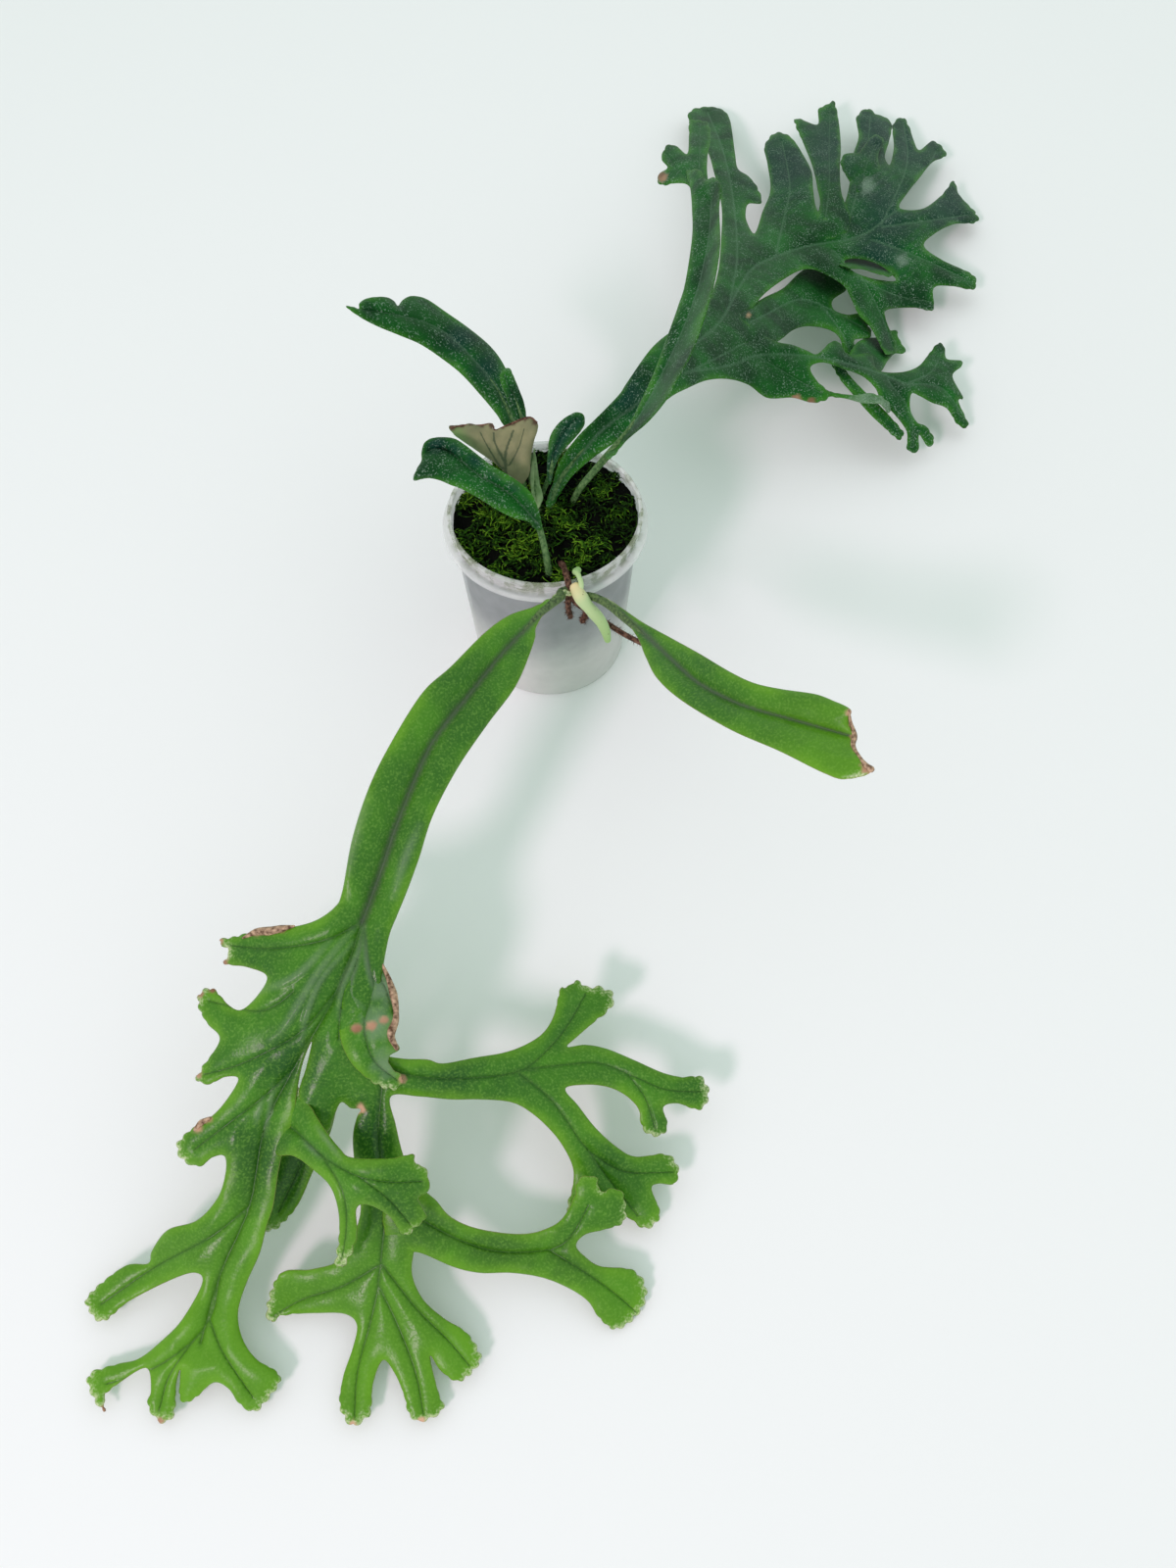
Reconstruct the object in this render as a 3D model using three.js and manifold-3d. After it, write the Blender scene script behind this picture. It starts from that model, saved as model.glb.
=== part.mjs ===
// A crested strap fern in a round nursery pot. Millimetres, +Z up.
// The origin is the centre of the pot's underside. The front of the pot faces -Y.
import * as THREE from 'three';
import { mergeVertices } from 'three/addons/utils/BufferGeometryUtils.js';
import Module from 'manifold-3d';

const wasm = await Module();
wasm.setup();

// Driving sizes of the pot and what fills it
const potHeight = 88;
const lipRadius = 42.6;
const ledgeRadius = 45;
const ledgeTop = 82;
const shoulderRadius = 40.6;
const shoulderHeight = 78.5;
const baseRadius = 35.7;
const wallThickness = 1.1;
const drainHoleRadius = 3.5;
const drainHoleCircle = 21;
const drainHoleCount = 5;
const drainageTop = 27;
const substrateTop = 70;
const mossEdgeHeight = 82.2;
const mossMound = 3.2;
const touchGap = 0.3;

// Driving sizes of the plant
const bladeThickness = 0.9;
const rhizomeRadius = 2.2;
const tipRadius = 2.5;
const budRadius = 1.1;
const rootRadius = 1.1;
const stipeRadius = 1.3;
const slimStipeRadius = 1;
const floorClearance = 1.2;

// Finishes: colour, roughness and opacity
const finishes = {
  frostedPlastic: { color: 0xdfe3e4, roughness: 0.45, opacity: 0.55 },
  paleGranules: { color: 0xd8d0c6, roughness: 0.9 },
  growingMix: { color: 0x2e231a, roughness: 0.95 },
  livingMoss: { color: 0x3c5a16, roughness: 0.95 },
  scalyStem: { color: 0x5c3422, roughness: 0.85 },
  paleTip: { color: 0xbcd79a, roughness: 0.4 },
  freshBlade: { color: 0x3f8a18, roughness: 0.35 },
  matureBlade: { color: 0x235f38, roughness: 0.5 },
  dryBlade: { color: 0x978b67, roughness: 0.7 },
  youngBlade: { color: 0x6f8a5a, roughness: 0.5 },
};

// Blades are outlined as they look from a viewpoint above the front of the pot.
// A picture point is carried along its line of sight to the height of the blade there.
const viewPlace = new THREE.Vector3(18.6, -364.5, 464);
const viewPitch = THREE.MathUtils.degToRad(59);
const viewFocus = 1200;
const viewCentre = [600, 800];
const viewForward = new THREE.Vector3(0, Math.cos(viewPitch), -Math.sin(viewPitch));
const viewUp = new THREE.Vector3(0, Math.sin(viewPitch), Math.cos(viewPitch));
const viewRight = new THREE.Vector3(1, 0, 0);

// The point at a height on the line of sight through a picture point.
function sightPoint(x, y, height) {
  const ray = viewForward.clone();
  ray.addScaledVector(viewRight, (x - viewCentre[0]) / viewFocus);
  ray.addScaledVector(viewUp, (viewCentre[1] - y) / viewFocus);
  const reach = (height - viewPlace.z) / ray.z;
  return viewPlace.clone().addScaledVector(ray, reach);
}

// A closed outline rounded through its points, with steps of about one cell.
function roundedLoop(points, cell) {
  const loop = [];
  const count = points.length;
  for (let i = 0; i < count; i += 1) {
    const [a, b, c, d] = [-1, 0, 1, 2].map((k) => points[(i + k + count) % count]);
    const steps = Math.max(1, Math.round(Math.hypot(c[0] - b[0], c[1] - b[1]) / cell));
    for (let s = 0; s < steps; s += 1) {
      loop.push([0, 1].map((k) => catmullRom(a[k], b[k], c[k], d[k], s / steps)));
    }
  }
  return loop;
}

function catmullRom(a, b, c, d, t) {
  const slopeB = (c - a) / 2;
  const slopeC = (d - b) / 2;
  const square = t * t;
  const cube = square * t;
  return (2 * cube - 3 * square + 1) * b + (cube - 2 * square + t) * slopeB
    + (3 * square - 2 * cube) * c + (cube - square) * slopeC;
}

function segmentDistance(x, y, a, b) {
  const [dx, dy] = [b[0] - a[0], b[1] - a[1]];
  const along = ((x - a[0]) * dx + (y - a[1]) * dy) / (dx * dx + dy * dy || 1);
  const t = Math.min(1, Math.max(0, along));
  return Math.hypot(x - a[0] - t * dx, y - a[1] - t * dy);
}

function lineDistance(line, x, y) {
  let best = Infinity;
  for (let i = 0; i + 1 < line.length; i += 1) {
    best = Math.min(best, segmentDistance(x, y, line[i], line[i + 1]));
  }
  return best;
}

// Distance to the nearest point of a loop, positive inside by the even-odd rule.
function insideDistance(loop, x, y) {
  let best = Infinity;
  let inside = false;
  for (let i = 0; i < loop.length; i += 1) {
    const a = loop[i];
    const b = loop[(i + 1) % loop.length];
    best = Math.min(best, segmentDistance(x, y, a, b));
    if ((a[1] > y) !== (b[1] > y) && x < ((b[0] - a[0]) * (y - a[1])) / (b[1] - a[1]) + a[0]) {
      inside = !inside;
    }
  }
  return inside ? best : -best;
}

function solveLinear(matrix, right) {
  const size = right.length;
  for (let column = 0; column < size; column += 1) {
    let pivot = column;
    for (let row = column + 1; row < size; row += 1) {
      if (Math.abs(matrix[row][column]) > Math.abs(matrix[pivot][column])) pivot = row;
    }
    [matrix[column], matrix[pivot]] = [matrix[pivot], matrix[column]];
    [right[column], right[pivot]] = [right[pivot], right[column]];
    for (let row = column + 1; row < size; row += 1) {
      const factor = matrix[row][column] / matrix[column][column];
      for (let k = column; k < size; k += 1) matrix[row][k] -= factor * matrix[column][k];
      right[row] -= factor * right[column];
    }
  }
  const answer = new Array(size).fill(0);
  for (let row = size - 1; row >= 0; row -= 1) {
    let sum = right[row];
    for (let k = row + 1; k < size; k += 1) sum -= matrix[row][k] * answer[k];
    answer[row] = sum / matrix[row][row];
  }
  return answer;
}

// The smoothest height field through pins [x, y, height]: a thin-plate spline.
function pinnedHeight(pins) {
  const scale = 100;
  const kernel = (dx, dy) => {
    const square = (dx * dx + dy * dy) / (scale * scale);
    return square > 0 ? square * Math.log(square) : 0;
  };
  const count = pins.length;
  const matrix = [];
  for (let i = 0; i < count; i += 1) {
    const row = pins.map((pin) => kernel(pins[i][0] - pin[0], pins[i][1] - pin[1]));
    matrix.push([...row, 1, pins[i][0] / scale, pins[i][1] / scale]);
  }
  matrix.push([...pins.map(() => 1), 0, 0, 0]);
  matrix.push([...pins.map((pin) => pin[0] / scale), 0, 0, 0]);
  matrix.push([...pins.map((pin) => pin[1] / scale), 0, 0, 0]);
  const weight = solveLinear(matrix, [...pins.map((pin) => pin[2]), 0, 0, 0]);
  return (x, y) => {
    let height = weight[count] + (weight[count + 1] * x + weight[count + 2] * y) / scale;
    for (let i = 0; i < count; i += 1) {
      height += weight[i] * kernel(x - pins[i][0], y - pins[i][1]);
    }
    return height;
  };
}

function smoothStep(low, high, value) {
  const t = Math.min(1, Math.max(0, (value - low) / (high - low)));
  return t * t * (3 - 2 * t);
}

// Height of one layer of a frond. Its pins give the broad form. Each fold line is a keel (positive
// slope) or a trough (negative slope), in millimetres per picture unit, up to its reach.
// A layer that grows from another follows it around its root and leaves it further out.
const foldRound = 3;
function layerHeight(layer) {
  const broad = pinnedHeight(layer.pins);
  const own = (x, y) => {
    let height = broad(x, y);
    for (const fold of layer.folds ?? []) {
      const away = Math.min(lineDistance(fold.line, x, y), fold.reach);
      height -= fold.slope * (Math.hypot(away, foldRound) - foldRound);
    }
    return height;
  };
  const free = (x, y) => {
    if (!layer.from) return own(x, y);
    const away = lineDistance(layer.root, x, y);
    const leave = smoothStep(layer.hold, layer.hold + layer.leave, away);
    return (1 - leave) * (layerHeight.of.get(layer.from)(x, y) + layer.offset) + leave * own(x, y);
  };
  const height = (x, y) => Math.max(free(x, y), floorClearance);
  layerHeight.of.set(layer, height);
  return height;
}
layerHeight.of = new Map();

// Delaunay triangles of points, added one by one.
function delaunay(points) {
  const far = 1e5;
  const corners = [...points, [-far, -far], [far, -far], [0, far]];
  const circled = (a, b, c) => {
    const [ax, ay] = corners[a];
    const [bx, by] = [corners[b][0] - ax, corners[b][1] - ay];
    const [cx, cy] = [corners[c][0] - ax, corners[c][1] - ay];
    const twice = 2 * (bx * cy - by * cx);
    const x = (cy * (bx * bx + by * by) - by * (cx * cx + cy * cy)) / twice;
    const y = (bx * (cx * cx + cy * cy) - cx * (bx * bx + by * by)) / twice;
    return { corners: [a, b, c], x: ax + x, y: ay + y, square: x * x + y * y };
  };
  const count = points.length;
  let triangles = [circled(count, count + 1, count + 2)];
  points.forEach(([x, y], index) => {
    const kept = [];
    const rim = new Map();
    for (const triangle of triangles) {
      if ((x - triangle.x) ** 2 + (y - triangle.y) ** 2 > triangle.square) {
        kept.push(triangle);
      } else {
        const [a, b, c] = triangle.corners;
        for (const [p, q] of [[a, b], [b, c], [c, a]]) {
          if (!rim.delete(`${q}_${p}`)) rim.set(`${p}_${q}`, [p, q]);
        }
      }
    }
    for (const [p, q] of rim.values()) kept.push(circled(p, q, index));
    triangles = kept;
  });
  return triangles.map((triangle) => triangle.corners).filter((set) => Math.max(...set) < count);
}

// How the points inside an outline are spread, in cells of its mesh: the lattice's pitch, its rows,
// where odd and even rows start, the room kept to the margin and to other points, and a small skew
// that keeps four points off one circle.
const lattice = {
  pitch: 1.6,
  row: 0.87,
  firstRow: 0.31,
  oddStart: 0.07,
  evenStart: 0.57,
  edgeRoom: 0.6,
  room: 1,
  skew: 0.013,
  foldStep: 1.5,
  foldEdgeRoom: 0.45,
  foldRoom: 0.8,
};
const halvingRounds = 6;

// Triangles that fill a layer's outline. Points stand on the outline, on the fold lines and on a
// staggered lattice between. Outline edges that the triangles miss are halved until none is missed.
function outlineTriangles(layer, cell) {
  const loop = roundedLoop(layer.outline, cell);
  const points = [...loop];
  const inner = [];
  const addInner = (x, y, edgeRoom, room) => {
    if (insideDistance(loop, x, y) < edgeRoom * cell) return;
    if (inner.some((p) => Math.hypot(p[0] - x, p[1] - y) < room * cell)) return;
    inner.push([x, y]);
  };
  for (const { line } of layer.folds ?? []) {
    for (let i = 0; i + 1 < line.length; i += 1) {
      const [dx, dy] = [line[i + 1][0] - line[i][0], line[i + 1][1] - line[i][1]];
      const steps = Math.ceil(Math.hypot(dx, dy) / (lattice.foldStep * cell));
      for (let k = 0; k < steps; k += 1) {
        const x = line[i][0] + (dx * k) / steps;
        const y = line[i][1] + (dy * k) / steps;
        addInner(x, y, lattice.foldEdgeRoom, lattice.foldRoom);
      }
    }
  }
  const pitch = lattice.pitch * cell;
  const [left, top] = [0, 1].map((k) => Math.min(...loop.map((p) => p[k])));
  const [right, bottom] = [0, 1].map((k) => Math.max(...loop.map((p) => p[k])));
  let row = 0;
  for (let y = top + lattice.firstRow * cell; y < bottom; y += lattice.row * pitch) {
    row += 1;
    const start = row % 2 ? lattice.oddStart : lattice.evenStart;
    for (let x = left + start * pitch; x < right; x += pitch * (1 + lattice.skew)) {
      addInner(x, y + lattice.skew * (x % cell), lattice.edgeRoom, lattice.room);
    }
  }
  let edges = loop.map((_, k) => [k, (k + 1) % loop.length]);
  points.push(...inner);
  let triangles = [];
  for (let round = 0; round < halvingRounds; round += 1) {
    triangles = delaunay(points);
    const made = new Set(triangles.flatMap(([a, b, c]) => [`${a}_${b}`, `${b}_${c}`, `${c}_${a}`]));
    const missed = edges.filter(([a, b]) => !made.has(`${a}_${b}`) && !made.has(`${b}_${a}`));
    if (!missed.length) break;
    const halves = missed.flatMap(([a, b]) => {
      points.push([(points[a][0] + points[b][0]) / 2, (points[a][1] + points[b][1]) / 2]);
      return [[a, points.length - 1], [points.length - 1, b]];
    });
    edges = [...edges.filter((edge) => !missed.includes(edge)), ...halves];
  }
  const inside = ([a, b, c]) => {
    const [x, y] = [0, 1].map((k) => (points[a][k] + points[b][k] + points[c][k]) / 3);
    return insideDistance(loop, x, y) > 0;
  };
  return { points, triangles: triangles.filter(inside) };
}

// One layer as a closed plate: the same triangles on both faces and a wall round the margin.
function layerSolid(layer, cell) {
  const height = layerHeight(layer);
  const { points, triangles } = outlineTriangles(layer, cell);
  const half = bladeThickness / 2;
  const reach = 3; // picture units on either side, for the slope
  const positions = [];
  for (const side of [1, -1]) {
    for (const [x, y] of points) {
      const across = sightPoint(x + reach, y, height(x + reach, y));
      across.sub(sightPoint(x - reach, y, height(x - reach, y)));
      const down = sightPoint(x, y + reach, height(x, y + reach));
      down.sub(sightPoint(x, y - reach, height(x, y - reach)));
      const normal = down.cross(across).normalize();
      const point = sightPoint(x, y, height(x, y)).addScaledVector(normal, side * half);
      positions.push(point.x, point.y, point.z);
    }
  }
  const shift = points.length;
  const faces = [];
  const edges = new Set(triangles.flatMap(([a, b, c]) => [`${a}_${b}`, `${b}_${c}`, `${c}_${a}`]));
  for (const [a, b, c] of triangles) {
    faces.push(a, c, b, a + shift, b + shift, c + shift);
    for (const [p, q] of [[a, b], [b, c], [c, a]]) {
      if (!edges.has(`${q}_${p}`)) faces.push(p, q, q + shift, p, q + shift, p + shift);
    }
  }
  return solidOf(indexed(positions, faces));
}

function indexed(positions, faces) {
  const geometry = new THREE.BufferGeometry();
  geometry.setAttribute('position', new THREE.Float32BufferAttribute(positions, 3));
  geometry.setIndex(faces);
  return geometry;
}

const mergeRoom = 1e-4;
function solidOf(geometry) {
  const bare = geometry.clone();
  bare.deleteAttribute('normal');
  bare.deleteAttribute('uv');
  const merged = mergeVertices(bare, mergeRoom);
  return new wasm.Manifold(new wasm.Mesh({
    numProp: 3,
    vertProperties: new Float32Array(merged.attributes.position.array),
    triVerts: new Uint32Array(merged.index.array),
  }));
}

// The geometry of a solid, without scraps that a cut or join leaves loose.
function geometryOf(solid) {
  const whole = solid.decompose().sort((p, q) => q.volume() - p.volume())[0];
  const mesh = whole.getMesh();
  const geometry = indexed(Array.from(mesh.vertProperties), Array.from(mesh.triVerts));
  geometry.computeVertexNormals();
  return geometry;
}

function fuse(solids) {
  return solids.reduce((whole, next) => whole.add(next));
}

// A round rod along a smooth path.
function rod(path, radius, sides = 6, steps = 3) {
  const curve = new THREE.CatmullRomCurve3(path);
  const section = new THREE.Shape();
  for (let i = 0; i < sides; i += 1) {
    const turn = (2 * Math.PI * i) / sides;
    const move = i ? 'lineTo' : 'moveTo';
    section[move](radius * Math.cos(turn), radius * Math.sin(turn));
  }
  const options = { steps: steps * (path.length - 1), bevelEnabled: false, extrudePath: curve };
  return solidOf(new THREE.ExtrudeGeometry(section, options));
}

// A stalk's path: free points first, then points that run on just under its blade.
const stalkSink = 0.3;
function stalkPath(layer, free, along) {
  const height = layerHeight(layer);
  return [...free, ...along.map(([x, y]) => sightPoint(x, y, height(x, y) - stalkSink))];
}

function lathe(profile, segments = 40) {
  const geometry = new THREE.LatheGeometry(profile.map(([r, z]) => new THREE.Vector2(r, z)), segments);
  return geometry.rotateX(Math.PI / 2);
}

function vector(x, y, z) {
  return new THREE.Vector3(x, y, z);
}

const fern = new THREE.Group();

function addPiece(name, geometry, finish) {
  const material = new THREE.MeshStandardMaterial({
    ...finish, metalness: 0, transparent: (finish.opacity ?? 1) < 1,
  });
  const mesh = new THREE.Mesh(geometry, material);
  mesh.name = name;
  fern.add(mesh);
}

// Inner radius of the pot wall at a height
function innerRadius(height) {
  const slope = (shoulderRadius - baseRadius) / shoulderHeight;
  return baseRadius + slope * height - wallThickness;
}

// The pot: a tapered wall, a ledge, a collar and a lip, with drain holes in its floor
const floorTop = 1.6;
const footRound = 0.8;
const ledgeHeight = 1.8;
const ledgeRound = 0.6;
const ledgeTopRound = 0.9;
const collarRadius = 41.8;
const lipHeight = 1;
const lipRound = 0.5;
const potProfile = [
  [0, 0], [baseRadius - footRound, 0], [baseRadius, footRound], [shoulderRadius, shoulderHeight],
  [ledgeRadius - ledgeRound, ledgeTop - ledgeHeight - ledgeRound], [ledgeRadius, ledgeTop - ledgeHeight],
  [ledgeRadius, ledgeTop], [ledgeRadius - ledgeTopRound, ledgeTop + ledgeTopRound / 2],
  [collarRadius, ledgeTop + ledgeTopRound], [collarRadius, potHeight - lipHeight - lipRound],
  [lipRadius, potHeight - lipHeight], [lipRadius, potHeight], [collarRadius - wallThickness, potHeight],
  [collarRadius - wallThickness, ledgeTop - lipHeight],
  [innerRadius(shoulderHeight), shoulderHeight - ledgeRound], [innerRadius(floorTop), floorTop],
  [0, floorTop],
];
const drainHoleSides = 14;
let pot = solidOf(lathe(potProfile));
for (let i = 0; i < drainHoleCount; i += 1) {
  const turn = (2 * Math.PI * i) / drainHoleCount;
  const hole = new THREE.CylinderGeometry(drainHoleRadius, drainHoleRadius, 3 * floorTop, drainHoleSides);
  hole.rotateX(Math.PI / 2);
  hole.translate(drainHoleCircle * Math.cos(turn), drainHoleCircle * Math.sin(turn), floorTop / 2);
  pot = pot.subtract(solidOf(hole));
}
addPiece('pot', geometryOf(pot), finishes.frostedPlastic);

// The pale drainage layer and the dark growing mix above it
const plugSegments = 36;
function plug(low, high) {
  return lathe([
    [0, low], [innerRadius(low) - touchGap, low], [innerRadius(high) - touchGap, high], [0, high],
  ], plugSegments);
}
addPiece('drainage_layer', plug(floorTop + touchGap, drainageTop), finishes.paleGranules);
addPiece('substrate', plug(drainageTop + touchGap, substrateTop), finishes.growingMix);

// Front frond, main layer: strap, left lobes with the lower fan, middle fan and right branch
const frontStrapLeft = [
  [579, 602], [550, 614], [520, 625], [492, 647], [460, 680], [430, 708], [396, 763], [375, 807],
  [359, 857], [349, 910], [341, 926], [320, 940],
];
const frontLeftLobes = [
  [291, 947], [262, 950], [240, 956], [224, 960], [234, 972], [229, 983], [252, 987], [272, 996],
  [264, 1014], [247, 1030], [234, 1026], [217, 1009], [204, 1014], [203, 1028], [212, 1045], [224, 1061],
  [206, 1090], [201, 1102], [214, 1106], [230, 1099], [243, 1101], [232, 1121], [217, 1138],
  [197, 1151], [181, 1168], [187, 1184], [204, 1190], [217, 1181], [229, 1180], [230, 1197], [222, 1222],
  [201, 1245], [171, 1255], [155, 1276], [151, 1289], [127, 1292], [92, 1320], [89, 1332], [104, 1348],
  [133, 1327], [177, 1305], [200, 1299], [206, 1310], [186, 1346], [166, 1367], [142, 1386],
  [119, 1392], [91, 1403], [94, 1423], [106, 1440], [107, 1424], [122, 1411], [149, 1396], [154, 1417],
  [151, 1434], [164, 1451], [177, 1443], [180, 1412], [184, 1398], [183, 1423], [188, 1431],
  [200, 1426], [218, 1411], [233, 1417], [244, 1432], [260, 1440], [277, 1422], [286, 1408],
  [280, 1398], [262, 1387], [248, 1367], [243, 1340], [251, 1311], [265, 1279], [272, 1252],
  [279, 1230], [284, 1197], [290, 1170], [300, 1140], [303, 1115],
];
const frontMiddle = [
  [309, 1085], [318, 1063], [312, 1090], [305, 1115], [312, 1138], [322, 1162], [332, 1160],
  [340, 1142], [348, 1125], [358, 1131], [368, 1132], [364, 1140], [360, 1160], [362, 1190],
  [368, 1232], [360, 1262], [346, 1286], [318, 1295], [287, 1299], [273, 1332], [276, 1349],
  [289, 1342], [324, 1340], [352, 1341], [364, 1352], [360, 1375], [350, 1405], [347, 1434],
  [358, 1454], [371, 1449], [378, 1440], [381, 1411], [391, 1388], [403, 1402], [412, 1423],
  [418, 1443], [430, 1450], [452, 1438], [447, 1420], [439, 1384], [450, 1399], [469, 1409],
  [489, 1390], [487, 1376], [474, 1358], [453, 1345], [432, 1326], [421, 1302], [422, 1280],
  [428, 1262], [430, 1240], [424, 1205], [412, 1180], [404, 1148], [399, 1119],
];
const frontRightBranch = [
  [428, 1119], [460, 1122], [490, 1122], [522, 1125], [544, 1137], [565, 1157], [578, 1176],
  [585, 1194], [584, 1213], [579, 1234], [592, 1240], [612, 1232], [640, 1242], [657, 1253],
  [670, 1247], [673, 1235], [665, 1213], [672, 1208], [688, 1208], [692, 1193], [680, 1178],
  [648, 1180], [629, 1170], [608, 1151], [590, 1128], [577, 1111], [597, 1107], [619, 1109],
  [637, 1117], [651, 1131], [655, 1149], [664, 1158], [677, 1157], [681, 1146], [677, 1130],
  [691, 1126], [714, 1132], [723, 1116], [715, 1099], [696, 1099], [675, 1094], [648, 1082],
  [619, 1070], [597, 1066], [579, 1068], [589, 1058], [605, 1044], [623, 1028], [625, 1014],
  [611, 1007], [600, 1008], [589, 1001], [578, 1008], [572, 1009], [565, 1036], [554, 1054],
  [536, 1066], [514, 1074], [485, 1079], [452, 1085], [436, 1081], [410, 1080], [391, 1074],
];
const frontStrapRight = [
  [385, 1050], [386, 1020], [390, 993], [397, 956], [405, 935], [416, 908], [428, 875], [442, 832],
  [467, 784], [497, 740], [527, 699], [545, 655], [547, 641], [556, 625], [568, 614], [583, 606],
];
const frontRib = [
  [560, 618], [515, 664], [481, 706], [439, 761], [405, 841], [391, 882], [370, 940], [345, 1010],
  [300, 1090], [270, 1150], [255, 1230], [225, 1300], [205, 1370],
];
const frontMain = {
  outline: [...frontStrapLeft, ...frontLeftLobes, ...frontMiddle, ...frontRightBranch, ...frontStrapRight],
  pins: [
    [580, 604, 89], [545, 640, 96], [480, 700, 100], [455, 760, 96], [410, 850, 86], [375, 940, 73],
    [300, 970, 68], [228, 970, 60], [205, 1015, 57], [207, 1100, 48], [190, 1165, 37], [330, 1040, 64],
    [290, 1100, 52], [250, 1200, 34], [240, 1290, 20], [160, 1300, 9], [92, 1335, 3], [200, 1350, 13],
    [98, 1425, 3], [164, 1445, 2], [190, 1420, 4], [262, 1432, 2.5], [265, 1395, 7], [385, 1050, 57],
    [345, 1110, 47], [322, 1155, 40], [390, 1180, 32], [395, 1240, 26], [380, 1300, 16], [280, 1340, 4],
    [360, 1448, 2.5], [435, 1445, 2], [480, 1395, 3], [450, 1105, 43], [530, 1100, 32], [560, 1060, 27],
    [610, 1010, 18], [650, 1095, 22], [718, 1115, 16], [665, 1150, 13], [600, 1150, 20],
    [685, 1195, 8], [660, 1245, 4], [590, 1200, 12],
  ],
  folds: [{ line: frontRib, slope: -0.12, reach: 28 }],
};

// Front frond, lobe that crosses over the middle fan
const frontCrossing = {
  outline: [
    [262, 1160], [272, 1130], [290, 1110], [305, 1112], [332, 1153], [347, 1172], [359, 1181],
    [397, 1182], [421, 1178], [424, 1188], [434, 1192], [438, 1214], [427, 1223], [435, 1241],
    [424, 1252], [412, 1260], [397, 1241], [377, 1230], [364, 1233], [364, 1262], [352, 1290],
    [343, 1290], [346, 1262], [345, 1235], [337, 1211], [320, 1194], [300, 1180], [280, 1178],
  ],
  pins: [
    [280, 1150, 44], [310, 1150, 48], [335, 1180, 51], [365, 1205, 53], [420, 1195, 52],
    [425, 1245, 43], [350, 1230, 47], [348, 1285, 32],
  ],
  from: frontMain,
  root: [[262, 1165], [285, 1125]],
  hold: 6,
  leave: 34,
  offset: -0.3,
};

// Front frond, blistered lobe that folds back over the fork
const frontBlistered = {
  outline: [
    [366, 950], [384, 965], [392, 985], [403, 1018], [406, 1038], [400, 1056], [408, 1070],
    [397, 1078], [399, 1089], [411, 1100], [404, 1111], [388, 1108], [372, 1098], [358, 1084],
    [348, 1063], [345, 1036], [348, 1010], [356, 975],
  ],
  pins: [
    [370, 965, 70], [400, 1035, 64], [350, 1040, 64], [370, 1020, 67], [375, 1070, 62], [407, 1102, 53],
  ],
  from: frontMain,
  root: [[366, 950], [360, 975], [380, 975]],
  hold: 6,
  leave: 50,
  offset: -0.3,
};

// Front frond, dark lobe that passes behind the left stem
const frontBehind = {
  outline: [
    [312, 1092], [332, 1082], [346, 1100], [342, 1138], [332, 1170], [320, 1194], [306, 1226],
    [292, 1244], [275, 1256], [262, 1243], [262, 1215], [275, 1190], [292, 1160], [304, 1125],
  ],
  pins: [[325, 1110, 47], [325, 1145, 36], [305, 1185, 22], [280, 1235, 12], [300, 1150, 33]],
  from: frontMain,
  root: [[325, 1085], [325, 1112]],
  hold: 8,
  leave: 40,
  offset: -0.4,
};

// Front frond, branch that sweeps to the right from the middle fan
const frontSweep = {
  outline: [
    [392, 1205], [415, 1205], [442, 1222], [458, 1240], [479, 1251], [506, 1257], [533, 1259],
    [554, 1255], [573, 1244], [586, 1221], [589, 1206], [598, 1200], [609, 1203], [612, 1216],
    [624, 1213], [635, 1217], [638, 1236], [635, 1248], [616, 1255], [597, 1260], [588, 1271],
    [598, 1283], [613, 1292], [645, 1296], [659, 1315], [652, 1339], [629, 1356], [611, 1344],
    [600, 1328], [581, 1315], [554, 1304], [522, 1299], [490, 1299], [463, 1293], [430, 1279],
    [408, 1275], [392, 1255],
  ],
  pins: [
    [400, 1240, 26], [440, 1250, 25], [511, 1277, 17], [570, 1262, 17], [595, 1225, 22],
    [630, 1225, 20], [605, 1300, 10], [650, 1315, 4], [620, 1345, 3],
  ],
  folds: [{
    line: [[400, 1225], [431, 1242], [460, 1264], [511, 1277], [560, 1275]],
    slope: -0.1,
    reach: 20,
  }],
  from: frontMain,
  root: [[398, 1215], [398, 1260]],
  hold: 6,
  leave: 40,
  offset: 0.3,
};

// Front frond, narrow neck between the stalk and the strap
const frontNeck = {
  outline: [
    [579, 601], [562, 609], [545, 616], [525, 624], [506, 640], [518, 668], [538, 658], [547, 641],
    [556, 626], [568, 614], [584, 606],
  ],
  pins: [[580, 604, 89], [550, 630, 94.5], [520, 645, 98]],
  from: frontMain,
  root: [[584, 600], [510, 655]],
  hold: 200,
  leave: 10,
  offset: -0.2,
};

const frontCell = 16;
const neckCell = 9;
const frontStipe = stalkPath(frontMain, [vector(7.1, -47.1, 88.9)], [[573, 608], [560, 618], [546, 630]]);
const frontOverlaps = [frontCrossing, frontBlistered, frontBehind, frontSweep];
addPiece('frond_front_crested', geometryOf(fuse([
  layerSolid(frontMain, frontCell),
  ...frontOverlaps.map((layer) => layerSolid(layer, frontCell)),
  layerSolid(frontNeck, neckCell),
  rod(frontStipe, stipeRadius),
])), finishes.freshBlade);

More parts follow.
